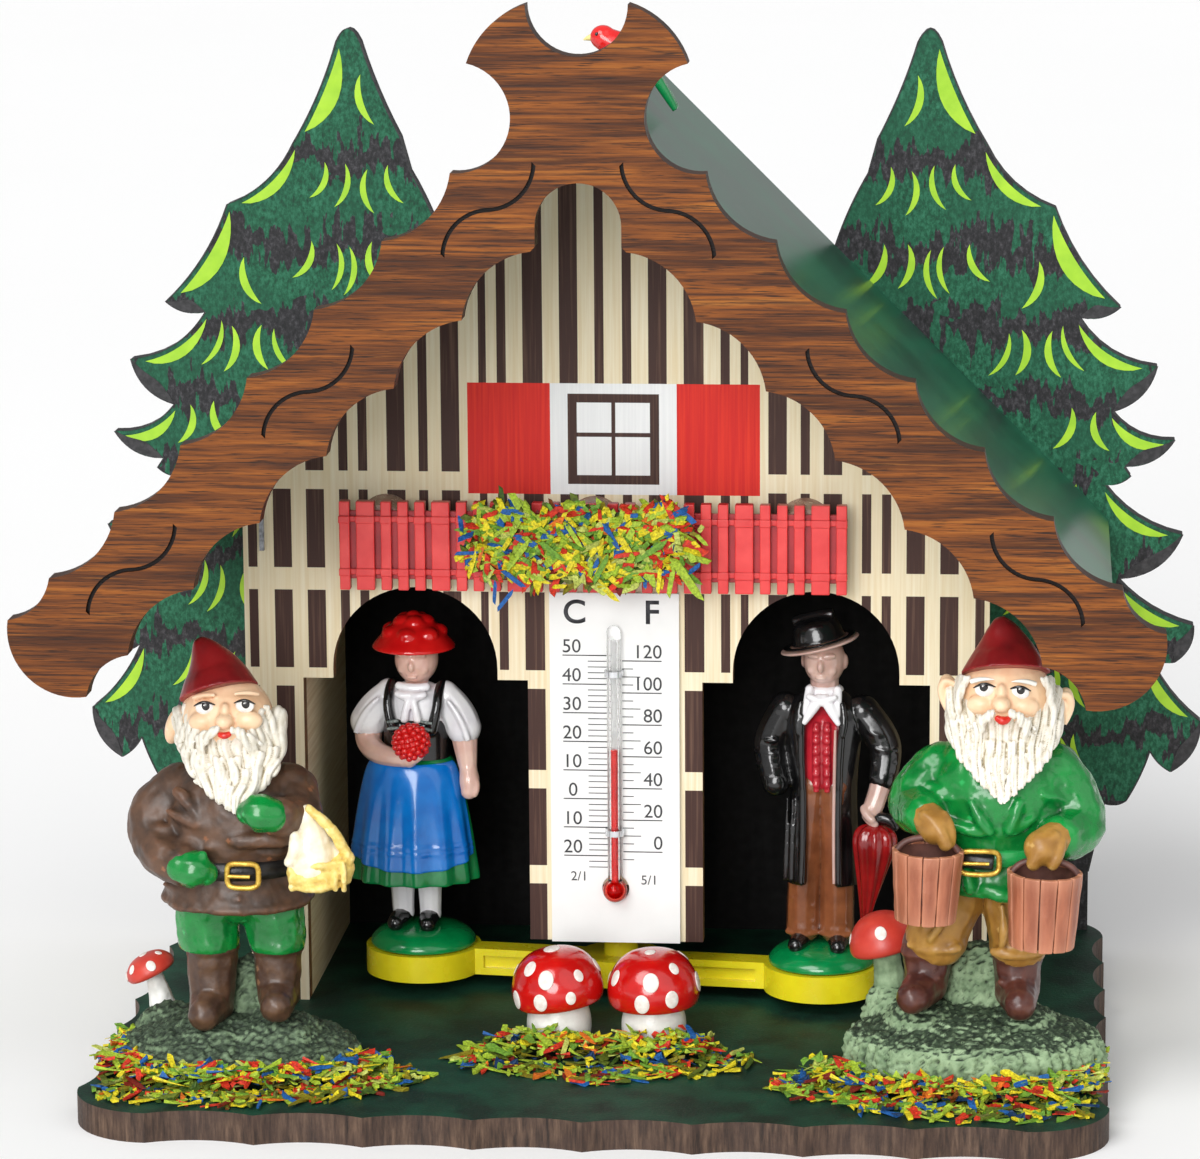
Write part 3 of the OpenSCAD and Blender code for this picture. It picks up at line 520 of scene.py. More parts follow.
dress(paint("hot_glue", (226, 190, 170), (200, 150, 130), size=1.5, rough=0.25, relief=0.05,
            Transmission_Weight=0.45, IOR=1.45), "fence_glue")
dress(paint("white_plate", (246, 246, 244), (238, 238, 236), size=12, rough=0.42, relief=0.02), "thermometer_plate")

m = Recipe("clear_glass", Transmission_Weight=1.0, IOR=1.25)
m.to(Base_Color=m.mix(m.fade(m.mm("Z"), 25.6, 24.8), (1, 1, 1, 1), rgb(236, 84, 70)))
m.to(Roughness=m.span(m.noise(4), 0.01, 0.05))
m.relief(m.noise(3, 2, (1, 1, 6)), 0.02, 0.2)
dress(m.mat, "thermometer_tube")
dress(paint("red_spirit", (226, 44, 40), (206, 28, 28), size=3, rough=0.15, relief=0.01), "thermometer_spirit")
print("small parts dressed")

# %% [markdown]
# ## Print on the scale plate
# The scale is ink on a plate: ticks are one thin bar repeated down the plate, and the figures are text made into
# mesh. Both get a hair of thickness, so that they are real ink films and not loose faces.

# %% Scale lines and numbers
PLATE_FRONT = 0.46  # where the plate's face lies
INK = 0.03  # thickness of a printed film
C_TOP, C_STEP = 60.7, 4.543  # height of 50 C and the drop for 10 degrees
F_TOP, F_STEP = 59.9, 5.05  # height of 120 F and the drop for 20 degrees
ink = paint("scale_ink", (44, 44, 48), (66, 66, 70), size=1.2, rough=0.6, relief=0.01)


def ticks(x0, x1, z, count, pitch, thick):
    clear()
    bpy.ops.mesh.primitive_plane_add(size=1)
    o = bpy.context.object
    edit(o)
    bpy.ops.transform.resize(value=(x1 - x0, thick, 1))
    bpy.ops.transform.translate(value=((x0 + x1) / 2, z, 0))
    done()
    return use(o, "ARRAY", count=count, use_relative_offset=False, use_constant_offset=True,
               constant_offset_displace=(0, -pitch, 0))


def word(body, x, z, size, align, bold=0.0):
    clear()
    bpy.ops.object.text_add()
    o = bpy.context.object
    o.data.body, o.data.size, o.data.align_x, o.data.offset = body, size, align, bold
    bpy.ops.object.convert(target="MESH")
    edit(bpy.context.object)
    bpy.ops.transform.translate(value=(x, z, 0))
    return done()


def stand_up(obj, depth):
    """Gives a flat shape a little depth and turns it upright, facing the front."""
    use(obj, "SOLIDIFY", thickness=depth, offset=0)
    return move((0, 0, 0), obj, turn=(math.pi / 2, 0, 0))


lines = join("scale_lines", [
    ticks(-8.0, -0.95, C_TOP, 8, C_STEP, 0.16), ticks(-4.1, -0.95, C_TOP, 38, C_STEP / 5, 0.13),
    ticks(1.2, 7.3, F_TOP, 7, F_STEP, 0.16), ticks(1.2, 4.0, F_TOP, 13, F_STEP / 2, 0.13),
    ticks(1.2, 2.9, F_TOP, 26, F_STEP / 4, 0.13)])
set_down(stand_up(lines, INK), "house", ink, (0, PLATE_FRONT, 0))
figures = [word(n, -8.1, C_TOP - C_STEP * i + 0.45, 3.0, "LEFT")
           for i, n in enumerate(("50", "40", "30", "20", "10", " 0", "10", "20"))]
figures += [word(n, 7.4, F_TOP - F_STEP * i + 0.45, 3.0, "RIGHT")
            for i, n in enumerate(("120", "100", "80", "60", "40", "20", "0"))]
figures += [word(n, x, 65.8, 5.2, "CENTER", 0.07) for n, x in (("C", -6.1), ("F", 5.8))]
figures += [word("2/1", -7.0, 24.9, 2.1, "LEFT"), word("5/1", 6.6, 24.4, 2.1, "RIGHT")]
numbers = join("scale_numbers", figures)
set_down(stand_up(numbers, INK), "house", ink, (0, PLATE_FRONT, 0))
print("scale printed")

# %% [markdown]
# ## Print on the firs
# The firs have a plain print: a dark edge, ragged dark gaps between the boughs and pale leaves where light catches
# them. The gaps are in the material, where a noise drawn out along the needles frays their edges. A leaf follows a
# bowed line and is pointed at both ends. The outer leaves follow the board's own bowed edges. The inner ones hang
# like a garland on each bough, and a ray onto the board keeps them off its rim.

# %% The firs' ground
# heights between which the board is dark
GAPS = [(23, 26.5), (34.5, 39), (48.5, 53), (62.5, 67), (77, 81), (89.5, 94), (101.5, 106.5), (115, 120),
        (128.5, 133)]
m = Recipe("fir_print", Specular_IOR_Level=0.3)
felt = m.noise(0.6, 6, (1, 1, 1.5), 0.7)
green = m.ramp(felt, [(0.34, rgb(6, 50, 34)), (0.48, rgb(18, 82, 56)), (0.68, rgb(50, 116, 88))])
green = m.mix(m.ramp(m.noise(9, 3), [(0.4, 0.0), (0.65, 0.5)]), green, rgb(14, 72, 50))
dark = m.ramp(felt, [(0.36, rgb(20, 20, 22)), (0.52, rgb(40, 39, 42)), (0.74, rgb(82, 80, 84))])
needles = m.math("MULTIPLY", m.noise(1.1, 3, (1, 1, 5)), 13.0)
drift = m.math("MULTIPLY", m.noise(10, 2), 15.0)
up = m.math("ADD", m.mm("Z"), m.math("SUBTRACT", m.math("ADD", needles, drift), 14.0))
gap = striped(m, up, GAPS, 160.0)
gap = m.math("MULTIPLY", gap, m.math("GREATER_THAN", m.noise(9, 3, (1.4, 1, 1)), 0.40))
low = m.math("LESS_THAN", m.mm("Z"), 26.5)
side_or_back = m.math("GREATER_THAN", m.facing("Y"), -0.5)
m.to(Base_Color=m.mix(m.math("MAXIMUM", gap, m.math("MAXIMUM", low, side_or_back)), green, dark))
m.to(Roughness=m.span(felt, 0.5, 0.75))
m.relief(felt, 0.06, 0.5)
dress(m.mat, "left_fir", "right_fir")
print("firs dressed")

# %% [markdown]
# The edge of the board was measured once for the CAD, as corners with a bow between them. The same corners place
# the dark rim and the outer leaves here.

# %% Edge and leaves
FIR_X, FIR_FRONT = 47.0, 49.94  # a fir's distance from the middle, and where its face lies
# corners of the right fir's outline, each with the bow of the line that leads to it
EDGE = [(-27, 90, 0), (-15.5, 117, 0), (-10, 129.5, 0.4), (-8.5, 135, 0), (-2.2, 150.4, -0.4), (1.7, 150.4, 2.1),
        (9, 134, -0.6), (20, 124, -1.5), (30.5, 108, -1.2), (24, 106.3, 0.9), (36.5, 98.5, -1.8), (29.5, 91, 1.5),
        (39.5, 86.5, -1.4), (31.5, 82, 1.3), (32.5, 80.5, 0), (28.5, 79, 0.5), (41, 71, -1.4), (30.7, 63.5, 2),
        (43, 56, -1.1), (40, 49.8, 1), (36, 51, 0.6), (44.4, 40, -0.9), (39.7, 31.5, 1.4), (36.3, 35, 0.4),
        (32.5, 26.5, 0.3), (29, 26, 0.5), (26.5, 14.5, 0)]
# which of those lines carry a pale leaf, and which a dark underside
UPPER = [6, 7, 8, 10, 12, 16, 18, 21]
UNDER = [9, 11, 13, 17, 19, 22]
# middle, height, half width and number of leaves of each inner bough
BOUGHS = [(-2.0, 139.5, 2.6, 2), (-1.5, 126, 8.6, 4), (-0.5, 113, 10, 5), (17.8, 111, 3.2, 2), (17.2, 99.5, 9, 4),
          (24.5, 87, 5.5, 3), (18, 73.5, 9, 4), (31.5, 70.5, 4.5, 2), (20, 59.5, 10, 4), (34, 56.5, 3, 2),
          (22, 45.5, 10, 4), (37, 43, 3, 2), (21, 32.5, 7, 3)]
lime = paint("lime_print", (164, 208, 40), (146, 194, 32), size=3, rough=0.55, relief=0.03)
edge_ink = paint("edge_print", (52, 50, 53), (24, 24, 26), size=0.9, rough=0.6, relief=0.03)
rnd = random.Random(5)
taken = []


def bow(p, q, sag, first=0.0, last=1.0, count=11):
    """Points on a line from p to q that bows to its left."""
    p, q = Vector(p[:2]), Vector(q[:2])
    side = Vector((p.y - q.y, q.x - p.x)).normalized()
    return [p.lerp(q, t) + side * 4 * sag * t * (1 - t) for t in
            (first + (last - first) * i / (count - 1) for i in range(count))]


def leaf(line, near, wide, lean=1.0):
    """A flat leaf along the right side of a line; it is widest early on if lean is over 1."""
    outer, inner = [], []
    for i, p in enumerate(line):
        way = (line[min(i + 1, len(line) - 1)] - line[max(i - 1, 0)]).normalized()
        side = Vector((way.y, -way.x))
        t = (i / (len(line) - 1)) ** (1 / lean)
        outer.append(p + side * near)
        inner.append(p + side * (near + wide * math.sin(math.pi * t) ** 0.8))
    taken.extend(outer + inner)
    return draw([tuple(p) for p in outer + inner[-2:0:-1]], kind="POLY", closed=True, flat=True)


def inside(p, margin=1.5):
    """True if the board reaches that far round a point."""
    spots = [p + margin * Vector(d) for d in ((1, 0), (-1, 0), (0, 1), (0, -1))]
    return all(nodes["right_fir"].ray_cast(Vector((FIR_X + s.x, 0, s.y)) / MM, (0, 1, 0))[0] for s in spots)


rim, leaves = [], []
for a, b in zip(EDGE, EDGE[1:]):
    line = bow(a, b, b[2])
    half = Vector((0.14, 0))
    outline = [tuple(p - half) for p in line] + [tuple(p + half) for p in line[::-1]]
    rim.append(draw(outline, kind="POLY", closed=True, flat=True))
for i in UNDER:
    a, b = EDGE[i - 1], EDGE[i]
    rim.append(leaf(bow(a, b, b[2]), 0.1, 2.1, 0.8))
for n, i in enumerate(UPPER):
    a, b = EDGE[i - 1], EDGE[i]
    leaves.append(leaf(bow(a, b, b[2], 0.05, 0.86), 0.75, 2.6 if n in (0, 2) else 1.7, 0.9))
for middle, z, half, count in BOUGHS:
    for k in range(count):
        u = 2 * (k + 0.5) / count - 1 + rnd.uniform(-0.12, 0.12)
        swing = 0.62 * u + rnd.uniform(-0.08, 0.08)
        long = rnd.uniform(6.0, 8.0) + 1.6 * (1 - abs(u))
        reach = long / 2 * Vector((math.sin(swing), -math.cos(swing)))
        at = Vector((middle + half * u, z + rnd.uniform(-0.5, 0.8) + 1.8 * abs(u)))
        p, q = at - reach, at + reach
        line = bow(p, q, -0.75) if swing > 0 else bow(q, p, -0.75)
        near = min((s - t).length for s in line for t in taken)
        if near > 1.3 and all(inside(s, 1.2) for s in (p, at, q)):
            leaves.append(leaf(line, 0, rnd.uniform(0.9, 1.3)))
for sign, name in ((1, "right"), (-1, "left")):
    for label, shapes, mat, lift in (("leaves", leaves, lime, 0.0), ("rim", rim, edge_ink, INK)):
        parts = [copies(g, [((sign * FIR_X, 0, 0), (0, 0, 0), (sign, 1, 1))])[0] for g in shapes]
        o = tidy(join(name + "_fir_" + label, parts))
        set_down(stand_up(o, INK), "house", mat, (0, FIR_FRONT - lift, 0))
drop(*rim, *leaves)
print("firs printed with", len(leaves), "leaves each")

# %% [markdown]
# ## Balcony fence
# The fence is one moulding: pickets on a thin backing, with two rails that thicken where they cross a picket. One
# soft-edged block is sized for each part, in the CAD fence's own spacing, and all are joined.

# %% Fence
BROAD, NARROW = 2.8, 1.6  # widths of the two kinds of picket
STEP = 2.6  # from one narrow picket to the next
GROUP = 11.6  # one broad picket and the three narrow ones after it


def block(x, y, z, wide, deep, high, soft=0.16):
    clear()
    middle = (x + wide / 2, y + deep / 2, z + high / 2)
    bpy.ops.mesh.primitive_cube_add(size=1, location=middle, scale=(wide, deep, high))
    return use(fix_in_place(), "BEVEL", width=soft, segments=2)


low, high = (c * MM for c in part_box("balcony_fence"))
tall, back = high.z - low.z, high.y
rails = (2.2, tall - 3.4)
pickets = [(low.x, NARROW)]
for i in range(7):
    x = low.x + STEP + i * GROUP
    pickets.append((x, BROAD))
    for j in range(3 if i < 6 else 1):
        pickets.append((x + 3.8 + j * STEP, NARROW))
parts = [block(low.x, back - 0.8, low.z + 1.6, high.x - low.x, 0.8, tall - 3.2, 0.1)]
for z in rails:
    parts.append(block(low.x, back - 1.5, low.z + z + 0.15, high.x - low.x, 1.5, 0.9))
for x, wide in pickets:
    parts.append(block(x, low.y + 0.35, low.z, wide, 1.85, tall))
    parts += [block(x - 0.08, low.y, low.z + z, wide + 0.16, 1.6, 1.2) for z in rails]
fence = join("fence", parts)
m = Recipe("fence_red", Coat_Weight=0.15, Subsurface_Weight=0.12, Subsurface_Scale=0.002)
cloud = m.ramp(m.noise(4, 3), [(0.36, 0.0), (0.66, 1.0)])
face = m.mix(cloud, rgb(224, 46, 48), rgb(238, 68, 66))
# painted shade: the same red is darker on the backing and back rails behind the pickets
deep = m.mix(cloud, rgb(156, 16, 28), rgb(182, 26, 38))
m.to(Base_Color=m.mix(m.fade(m.mm("Y"), -4.0, -3.2), face, deep))
m.to(Roughness=m.span(m.noise(1.5), 0.32, 0.5))
m.relief(m.noise(0.6), 0.03)
set_down(fence, "house", m.mat, stands_for=["balcony_fence"])
print("fence:", len(pickets), "pickets")

# %% [markdown]
# ## Fly agarics
# A cap is a dome turned on a lathe with its rim rolled under, and a stem is a small barrel. The spots are dabs of
# thick paint: flattened balls set square to the dome.

# %% Two fly agarics
cap_red = paint("cap_red", (204, 22, 18), (182, 12, 12), size=4, rough=0.16, relief=0.04, Coat_Weight=0.6,
                Coat_Roughness=0.08)
spot_white = paint("spot_white", (240, 236, 230), (222, 210, 202), size=0.8, rough=0.4, relief=0.12)
stem_white = paint("stem_white", (240, 240, 236), (220, 220, 214), size=2.5, rough=0.35, relief=0.06, Coat_Weight=0.2)


def dabs(name, dome, centre, spots, size):
    """Paint dabs at (degrees from the front, degrees up); a ray from outside finds the dome's skin."""
    dab = ball((0, 0, 0), (1, 1.25, 0.2), segments=20, rings=10)
    places = []
    for k, (turn, climb) in enumerate(spots):
        a, e = math.radians(turn), math.radians(climb)
        way = Vector((math.cos(e) * math.sin(a), -math.cos(e) * math.cos(a), math.sin(e)))
        at, out = dome.ray_cast(Vector(centre) + way * 40, -way)[1:3]
        places.append((at, out.to_track_quat("Z", "Y").to_euler(), size * (0.85 + 0.2 * math.sin(k * 2.3))))
    made = join(name, copies(dab, places))
    drop(dab)
    return made


def tilt(objects, centre, degrees):
    """Leans objects; their right side rises if degrees are positive."""
    for o in objects:
        pick(o)
        bpy.ops.transform.rotate(value=math.radians(degrees), orient_axis="Y", center_override=centre)
        fix_in_place()
    return objects


# profiles as (radius, height), and spots as (degrees from the front, degrees up)
DOME = [(0, 14.4), (2.6, 14.4), (5.2, 13.0), (6.9, 10.2), (7.1, 7.4), (6.6, 5.9), (5.8, 5.9), (4.4, 6.3), (0, 6.4)]
STEM = [(0, 0), (4.2, 0), (4.9, 1.2), (5.0, 3.4), (4.4, 5.6), (4.0, 6.9), (0, 6.9)]
SPOTS = {"left": [(-38, 46), (-7, 32), (40, 30), (-58, 6), (-17, 5), (22, 6), (0, 88), (92, 30), (140, 40), (190, 22),
                  (-100, 34), (-146, 14)],
         "right": [(-58, 30), (2, 30), (42, 44), (-10, 4), (28, 8), (-8, 80), (84, 18), (120, 46), (170, 24),
                   (-110, 14), (-150, 42)]}
for name, x, lean in (("left", -7.25, 8), ("right", 7.25, 2)):
    stem = join(name + "_agaric_stem", [turned(STEM, 40)])
    cap = join(name + "_agaric_cap", [turned(DOME, 56)])
    spots = dabs(name + "_agaric_spots", cap, (0, 0, 7.3), SPOTS[name], 1.22)
    tilt([cap, spots], (0, 0, 7), lean)
    at = (x, -17, BASE_TOP)
    set_down(stem, "house", stem_white, at, stands_for=[name + "_mushroom_stem"])
    set_down(cap, "house", cap_red, at, stands_for=[name + "_mushroom_cap"])
    set_down(spots, "house", spot_white, at)
print("agarics made")

# %% [markdown]
# ## Dyed shavings
# A shaving is a thin splinter with pinched ends, bent and twisted a little. A few are modelled, dyed with a colour
# attribute and strewn where the CAD beds lie: a ray onto the bed finds the place, and chips lean at random on it.
# Chips deep in a heap get a darker colour: painted shade, as they lie in the heap's shadow. Some long strips are laid
# on the balcony by hand.

# %% A stock of shavings
# dyes, each with its share of the heap
DYES = [((172, 200, 58), 30), ((236, 218, 40), 22), ((116, 164, 54), 15), ((200, 210, 104), 8), ((220, 58, 36), 15),
        ((34, 98, 172), 9), ((232, 120, 36), 3)]
# painted shade on chips deep in a heap
SHADE = 0.58  # how light the dye is on a chip that lies deep in a heap
m = Recipe("dyed_wood", Specular_IOR_Level=0.3)
tint = m.node("Attribute", attribute_name="dye").outputs["Color"]
fibre = m.noise(0.35, 4)
m.to(Base_Color=m.mix(m.ramp(fibre, [(0.35, 0.5), (0.62, 0.0)]), tint, rgb(60, 66, 20), "MULTIPLY"))
m.to(Roughness=m.span(fibre, 0.45, 0.75))
m.relief(fibre, 0.06)
dyed = m.mat


def shaving(length, width, bend, twist, tip, end):
    """A splinter; tip and end say how wide its two ends stay."""
    clear()
    bpy.ops.mesh.primitive_grid_add(x_subdivisions=5, y_subdivisions=1, size=1)
    o = bpy.context.object
    for v in o.data.vertices:
        if abs(v.co.x) > 0.45:
            v.co.x += 0.12 * v.co.y
            v.co.y *= tip if v.co.x > 0 else end
    edit(o)
    bpy.ops.transform.resize(value=(length, width, 1))
    done()
    use(o, "SOLIDIFY", thickness=0.17, offset=0)
    use(o, "SIMPLE_DEFORM", deform_method="TWIST", deform_axis="X", angle=math.radians(twist))
    return use(o, "SIMPLE_DEFORM", deform_method="BEND", deform_axis="Y", angle=math.radians(bend))


def soak(obj, dye):
    """Gives a shaving its colour attribute: its dye, or on deep chips the dye darkened as painted shade."""
    pick(obj)
    bpy.ops.geometry.color_attribute_add(name="dye", domain="POINT", data_type="FLOAT_COLOR", color=rgb(*dye))
    return obj


forms = [shaving(*size) for size in (
    (3.2, 0.85, 18, 20, 0.5, 0.8), (2.1, 1.15, 30, -14, 0.8, 1.0), (5.0, 0.8, 10, 30, 0.5, 0.8),
    (2.7, 0.75, 60, 25, 0.7, 0.5), (3.8, 1.0, 22, -25, 0.9, 0.4), (1.6, 0.9, 15, 10, 0.9, 0.7))]
FORMS, LONG, LONG_SIZE = len(forms), 2, 5.0  # how many forms, which is the long one, and its length
stock, shade_stock = [], []
for dye, share in DYES:
    for form in forms:
        # each chip comes twice: in its dye, and darkened as painted shade
        for pile, light in ((stock, 1.0), (shade_stock, SHADE)):
            chip = copies(form, [((0, 0, 0), (0, 0, 0), 1)])[0]
            pile.append((soak(chip, [c * light for c in dye]), share))
drop(*forms)
print("shavings modelled:", len(stock) + len(shade_stock))

# %% [markdown]
# All places are planned before the first copy is made, since each new object makes the next ray slower. A share
# of the chips has slid off its bed onto the base plate, and a few lie up against the outer ends of the two rocks.
# STRIPS lists the long strips on the balcony: place, angle, length and dye.

# %% Strew the beds and the balcony
LEFT, RIGHT = (-54.5, -28.5, BASE_TOP), (56.0, -27.5, BASE_TOP)  # where the gnomes' rocks stand
FEEL = 2.4  # a chip is well inside its bed if the bed reaches that far round it
SLID, SLIDE = 0.42, 7.0  # share of chips that slid off a bed, and how far
SIDE, FRONT = 73.5, -55.5  # chips stay this side of the base plate's edges
CORNER = (70, -52)  # and of its round corners
RIM = 74.2  # chips against a rock may lie this far out
STRIPS = [(12.0, 75.0, -56, 7.6, 0), (7.8, 74.8, 84, 4.0, 1), (9.6, 74.6, 80, 4.6, 0), (-15.6, 71.4, 51, 3.8, 5),
          (-17.2, 72.6, 86, 3.4, 5), (-21.4, 78.6, 2, 3.4, 5), (-13.6, 78.4, 52, 5.4, 0), (6.6, 79.2, 32, 5.6, 2),
          (-14.2, 74.6, -38, 4.4, 5), (-1.0, 76.4, 62, 4.8, 2), (0.6, 81.4, -62, 4.4, 5), (3.0, 78.6, 8, 4.0, 4),
          (-20.6, 76.8, 72, 4.0, 1), (-5.2, 81.6, -58, 4.4, 0), (-8.4, 79.0, -40, 4.6, 2)]


def round_rock(middle, half, r, start, end, count, seed):
    """Places against a rock's end, low on its slope and inside the base plate's edge."""
    rnd = random.Random(seed)
    x, y, foot = middle
    spots = []
    for i in range(count):
        a = math.radians(rnd.uniform(start, end))
        rise = rnd.random()
        out = r + 0.8 - 2.0 * rise
        side = math.copysign(half, math.cos(a)) + out * math.cos(a)
        x_in = max(-RIM, min(RIM, x + side))
        spots.append(Vector((x_in, y + out * math.sin(a), foot + 0.3 + 2.4 * rise)))
    return spots


def strew(name, node, count, seed, middle=None, trail=()):
    """A heap of chips over a CAD bed; chips slide away from middle, and a bed without one stands upright."""
    rnd = random.Random(seed)
    low, high = (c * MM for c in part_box(node))
    bed = nodes[node]
    upright = middle is None
    plan = []
    way = Vector((0, 1, 0)) if upright else Vector((0, 0, -1))

    def meets(u, v):
        start = Vector((u, low.y - 5, v)) if upright else Vector((u, v, high.z + 5))
        hit, at = bed.ray_cast(start / MM, way)[:2]
        return at * MM if hit else None

    def off(reach):
        return max(-2 * reach, min(2 * reach, rnd.gauss(0, reach)))

    tries = 0
    while len(plan) < count and tries < count * 20:
        tries += 1
        u = rnd.uniform(low.x, high.x)
        v = rnd.uniform(low.z + 0.6, high.z) if upright else rnd.uniform(low.y, high.y)
        at = meets(u, v)
        if at is None:
            continue
        round_it = ((u + FEEL, v), (u - FEEL, v), (u, v + FEEL), (u, v - FEEL))
        near = sum(meets(*spot) is not None for spot in round_it)
        depth = rnd.random() ** 0.6
        # chips deep in the heap take the copy darkened as painted shade
        pile = stock if depth > 0.55 else shade_stock
        chip = rnd.choices([s[0] for s in pile], [s[1] for s in pile])[0]
        size = rnd.uniform(0.6, 1.2)
        if upright:
            at = at + Vector((off(0.9), (1 - depth) * 2.6 * near / 4, off(0.4) + 1.7 * (high.z - v) / 12 + 0.6))
            turn = (Matrix.Rotation(math.radians(90 + rnd.uniform(-36, 36)), 3, "X") @
                    Matrix.Rotation(rnd.uniform(0, 6.28), 3, "Z")).to_euler()
        else:
            top = (high.z - low.z) * (0.18 + 0.82 * near / 4)
            at = Vector((at.x + off(1.1), at.y + off(1.1), low.z + 0.35 + top * depth * 0.9))
            turn = (rnd.uniform(-0.4, 0.4), rnd.uniform(-0.35, 0.35), rnd.uniform(0, 6.28))
            if rnd.random() < SLID:
                spot = at.xy
                away = (spot - Vector(middle)).normalized()
                while meets(*spot) is not None:
                    spot = spot + away * 0.8
                spot = spot + away * SLIDE * rnd.random() ** 1.5
                past_corner = abs(spot.x) > CORNER[0] and spot.y < CORNER[1]
                if abs(spot.x) > SIDE or spot.y < FRONT or past_corner:
                    continue
                at = Vector((spot.x, spot.y, low.z + 0.15 + 0.6 * rnd.random()))
                turn = (turn[0] * 0.3, turn[1] * 0.3, turn[2])
        plan.append((chip, at, turn, size))
    for at in trail:
        chip = rnd.choices([s[0] for s in stock], [s[1] for s in stock])[0]
        turn = (rnd.uniform(-0.5, 0.5), rnd.uniform(-0.4, 0.4), rnd.uniform(0, 6.28))
        plan.append((chip, at, turn, rnd.uniform(0.55, 1.0)))
    if upright:
        for x, z, angle, length, dye in STRIPS:
            chip = stock[dye * FORMS + LONG][0]
            turn = Matrix.Rotation(math.radians(90), 3, "X") @ Matrix.Rotation(math.radians(angle), 3, "Z")
            plan.append((chip, (x, low.y - 0.4, z), turn.to_euler(), length / LONG_SIZE))
    made = [lay(*p) for p in plan]
    pick(*made)
    fix_in_place()
    heap = join(name, made)
    return set_down(heap, "house", dyed, stands_for=[node])


left_end = round_rock(LEFT, 5.5, 13.5, 135, 235, 150, 7)
right_end = round_rock(RIGHT, 6, 14, -60, 25, 130, 8)
for name, node, count, seed, middle, trail in (
        ("front_chips", "front_shavings", 640, 3, (0, -16), ()),
        ("left_chips", "left_shavings", 960, 4, LEFT[:2], left_end),
        ("right_chips", "right_shavings", 860, 5, RIGHT[:2], right_end),
        ("balcony_chips", "balcony_flowers", 950, 6, None, ())):
    heap = strew(name, node, count, seed, middle, trail)
    print(name, len(heap.data.polygons), "faces")
drop(*[s[0] for s in stock + shade_stock])

# %% [markdown]
# ## Tools for the gnomes
# Both gnomes are resin castings, painted by hand. Each garment is built up from rods and balls in its own colour
# and melted into one skin. The paint is darker in the hollows and lighter on the ridges: partly the dark wash and
# dry brushing such castings get, partly painted shade in the hollows and a painted highlight on the ridges.

# %% Tools for limbs, hair and folds
def flatten(obj, z=0.0):
    """A flat foot: everything below z is pushed up to it."""
    for v in obj.data.vertices:
        v.co.z = max(v.co.z, z)
    return obj


def boot(x, y, knee, sole, toe, wide=1.0):
    """A boot with a loose shaft; knee, sole are heights, toe is how far it points to the side."""
    shaft = [(x, y, knee), (x, y - 0.3, (knee + sole) / 2 + 1), (x + toe * 0.1, y - 0.6, sole + 3)]
    foot = [(x, y + 0.4, sole + 2.7), (x + toe * 0.4, y - 2.6, sole + 2.8), (x + toe, y - 5.8, sole + 2.4)]
    cuff = ball((x, y, knee - 0.6), (4.1 * wide, 4.1 * wide, 1.3))
    heel = ball((x, y + 1.6, sole + 1.5), (2.9 * wide, 2.4, 1.6))
    leg = limb(shaft, [3.9 * wide, 3.5 * wide, 3.3 * wide])
    return leg + limb(foot, [3.0 * wide, 3.2 * wide, 2.5]) + [cuff, heel]


def mitten(at, reach, thumb, size=1.0):
    """A mitten: a palm that curls, and a thumb along it."""
    at, reach, thumb = Vector(at), Vector(reach), Vector(thumb)
    curl = Vector((0, 0.5, -0.4))
    parts = limb([at - reach * 0.7, at, at + reach * 0.55, at + reach * 0.9 + curl],
                 [2.3 * size, 2.8 * size, 2.5 * size, 1.7 * size])
    return parts + limb([at - reach * 0.4 + thumb * 0.3, at + thumb * 0.75, at + thumb + reach * 0.35],
                        [1.1 * size, 1.05 * size, 0.75 * size])


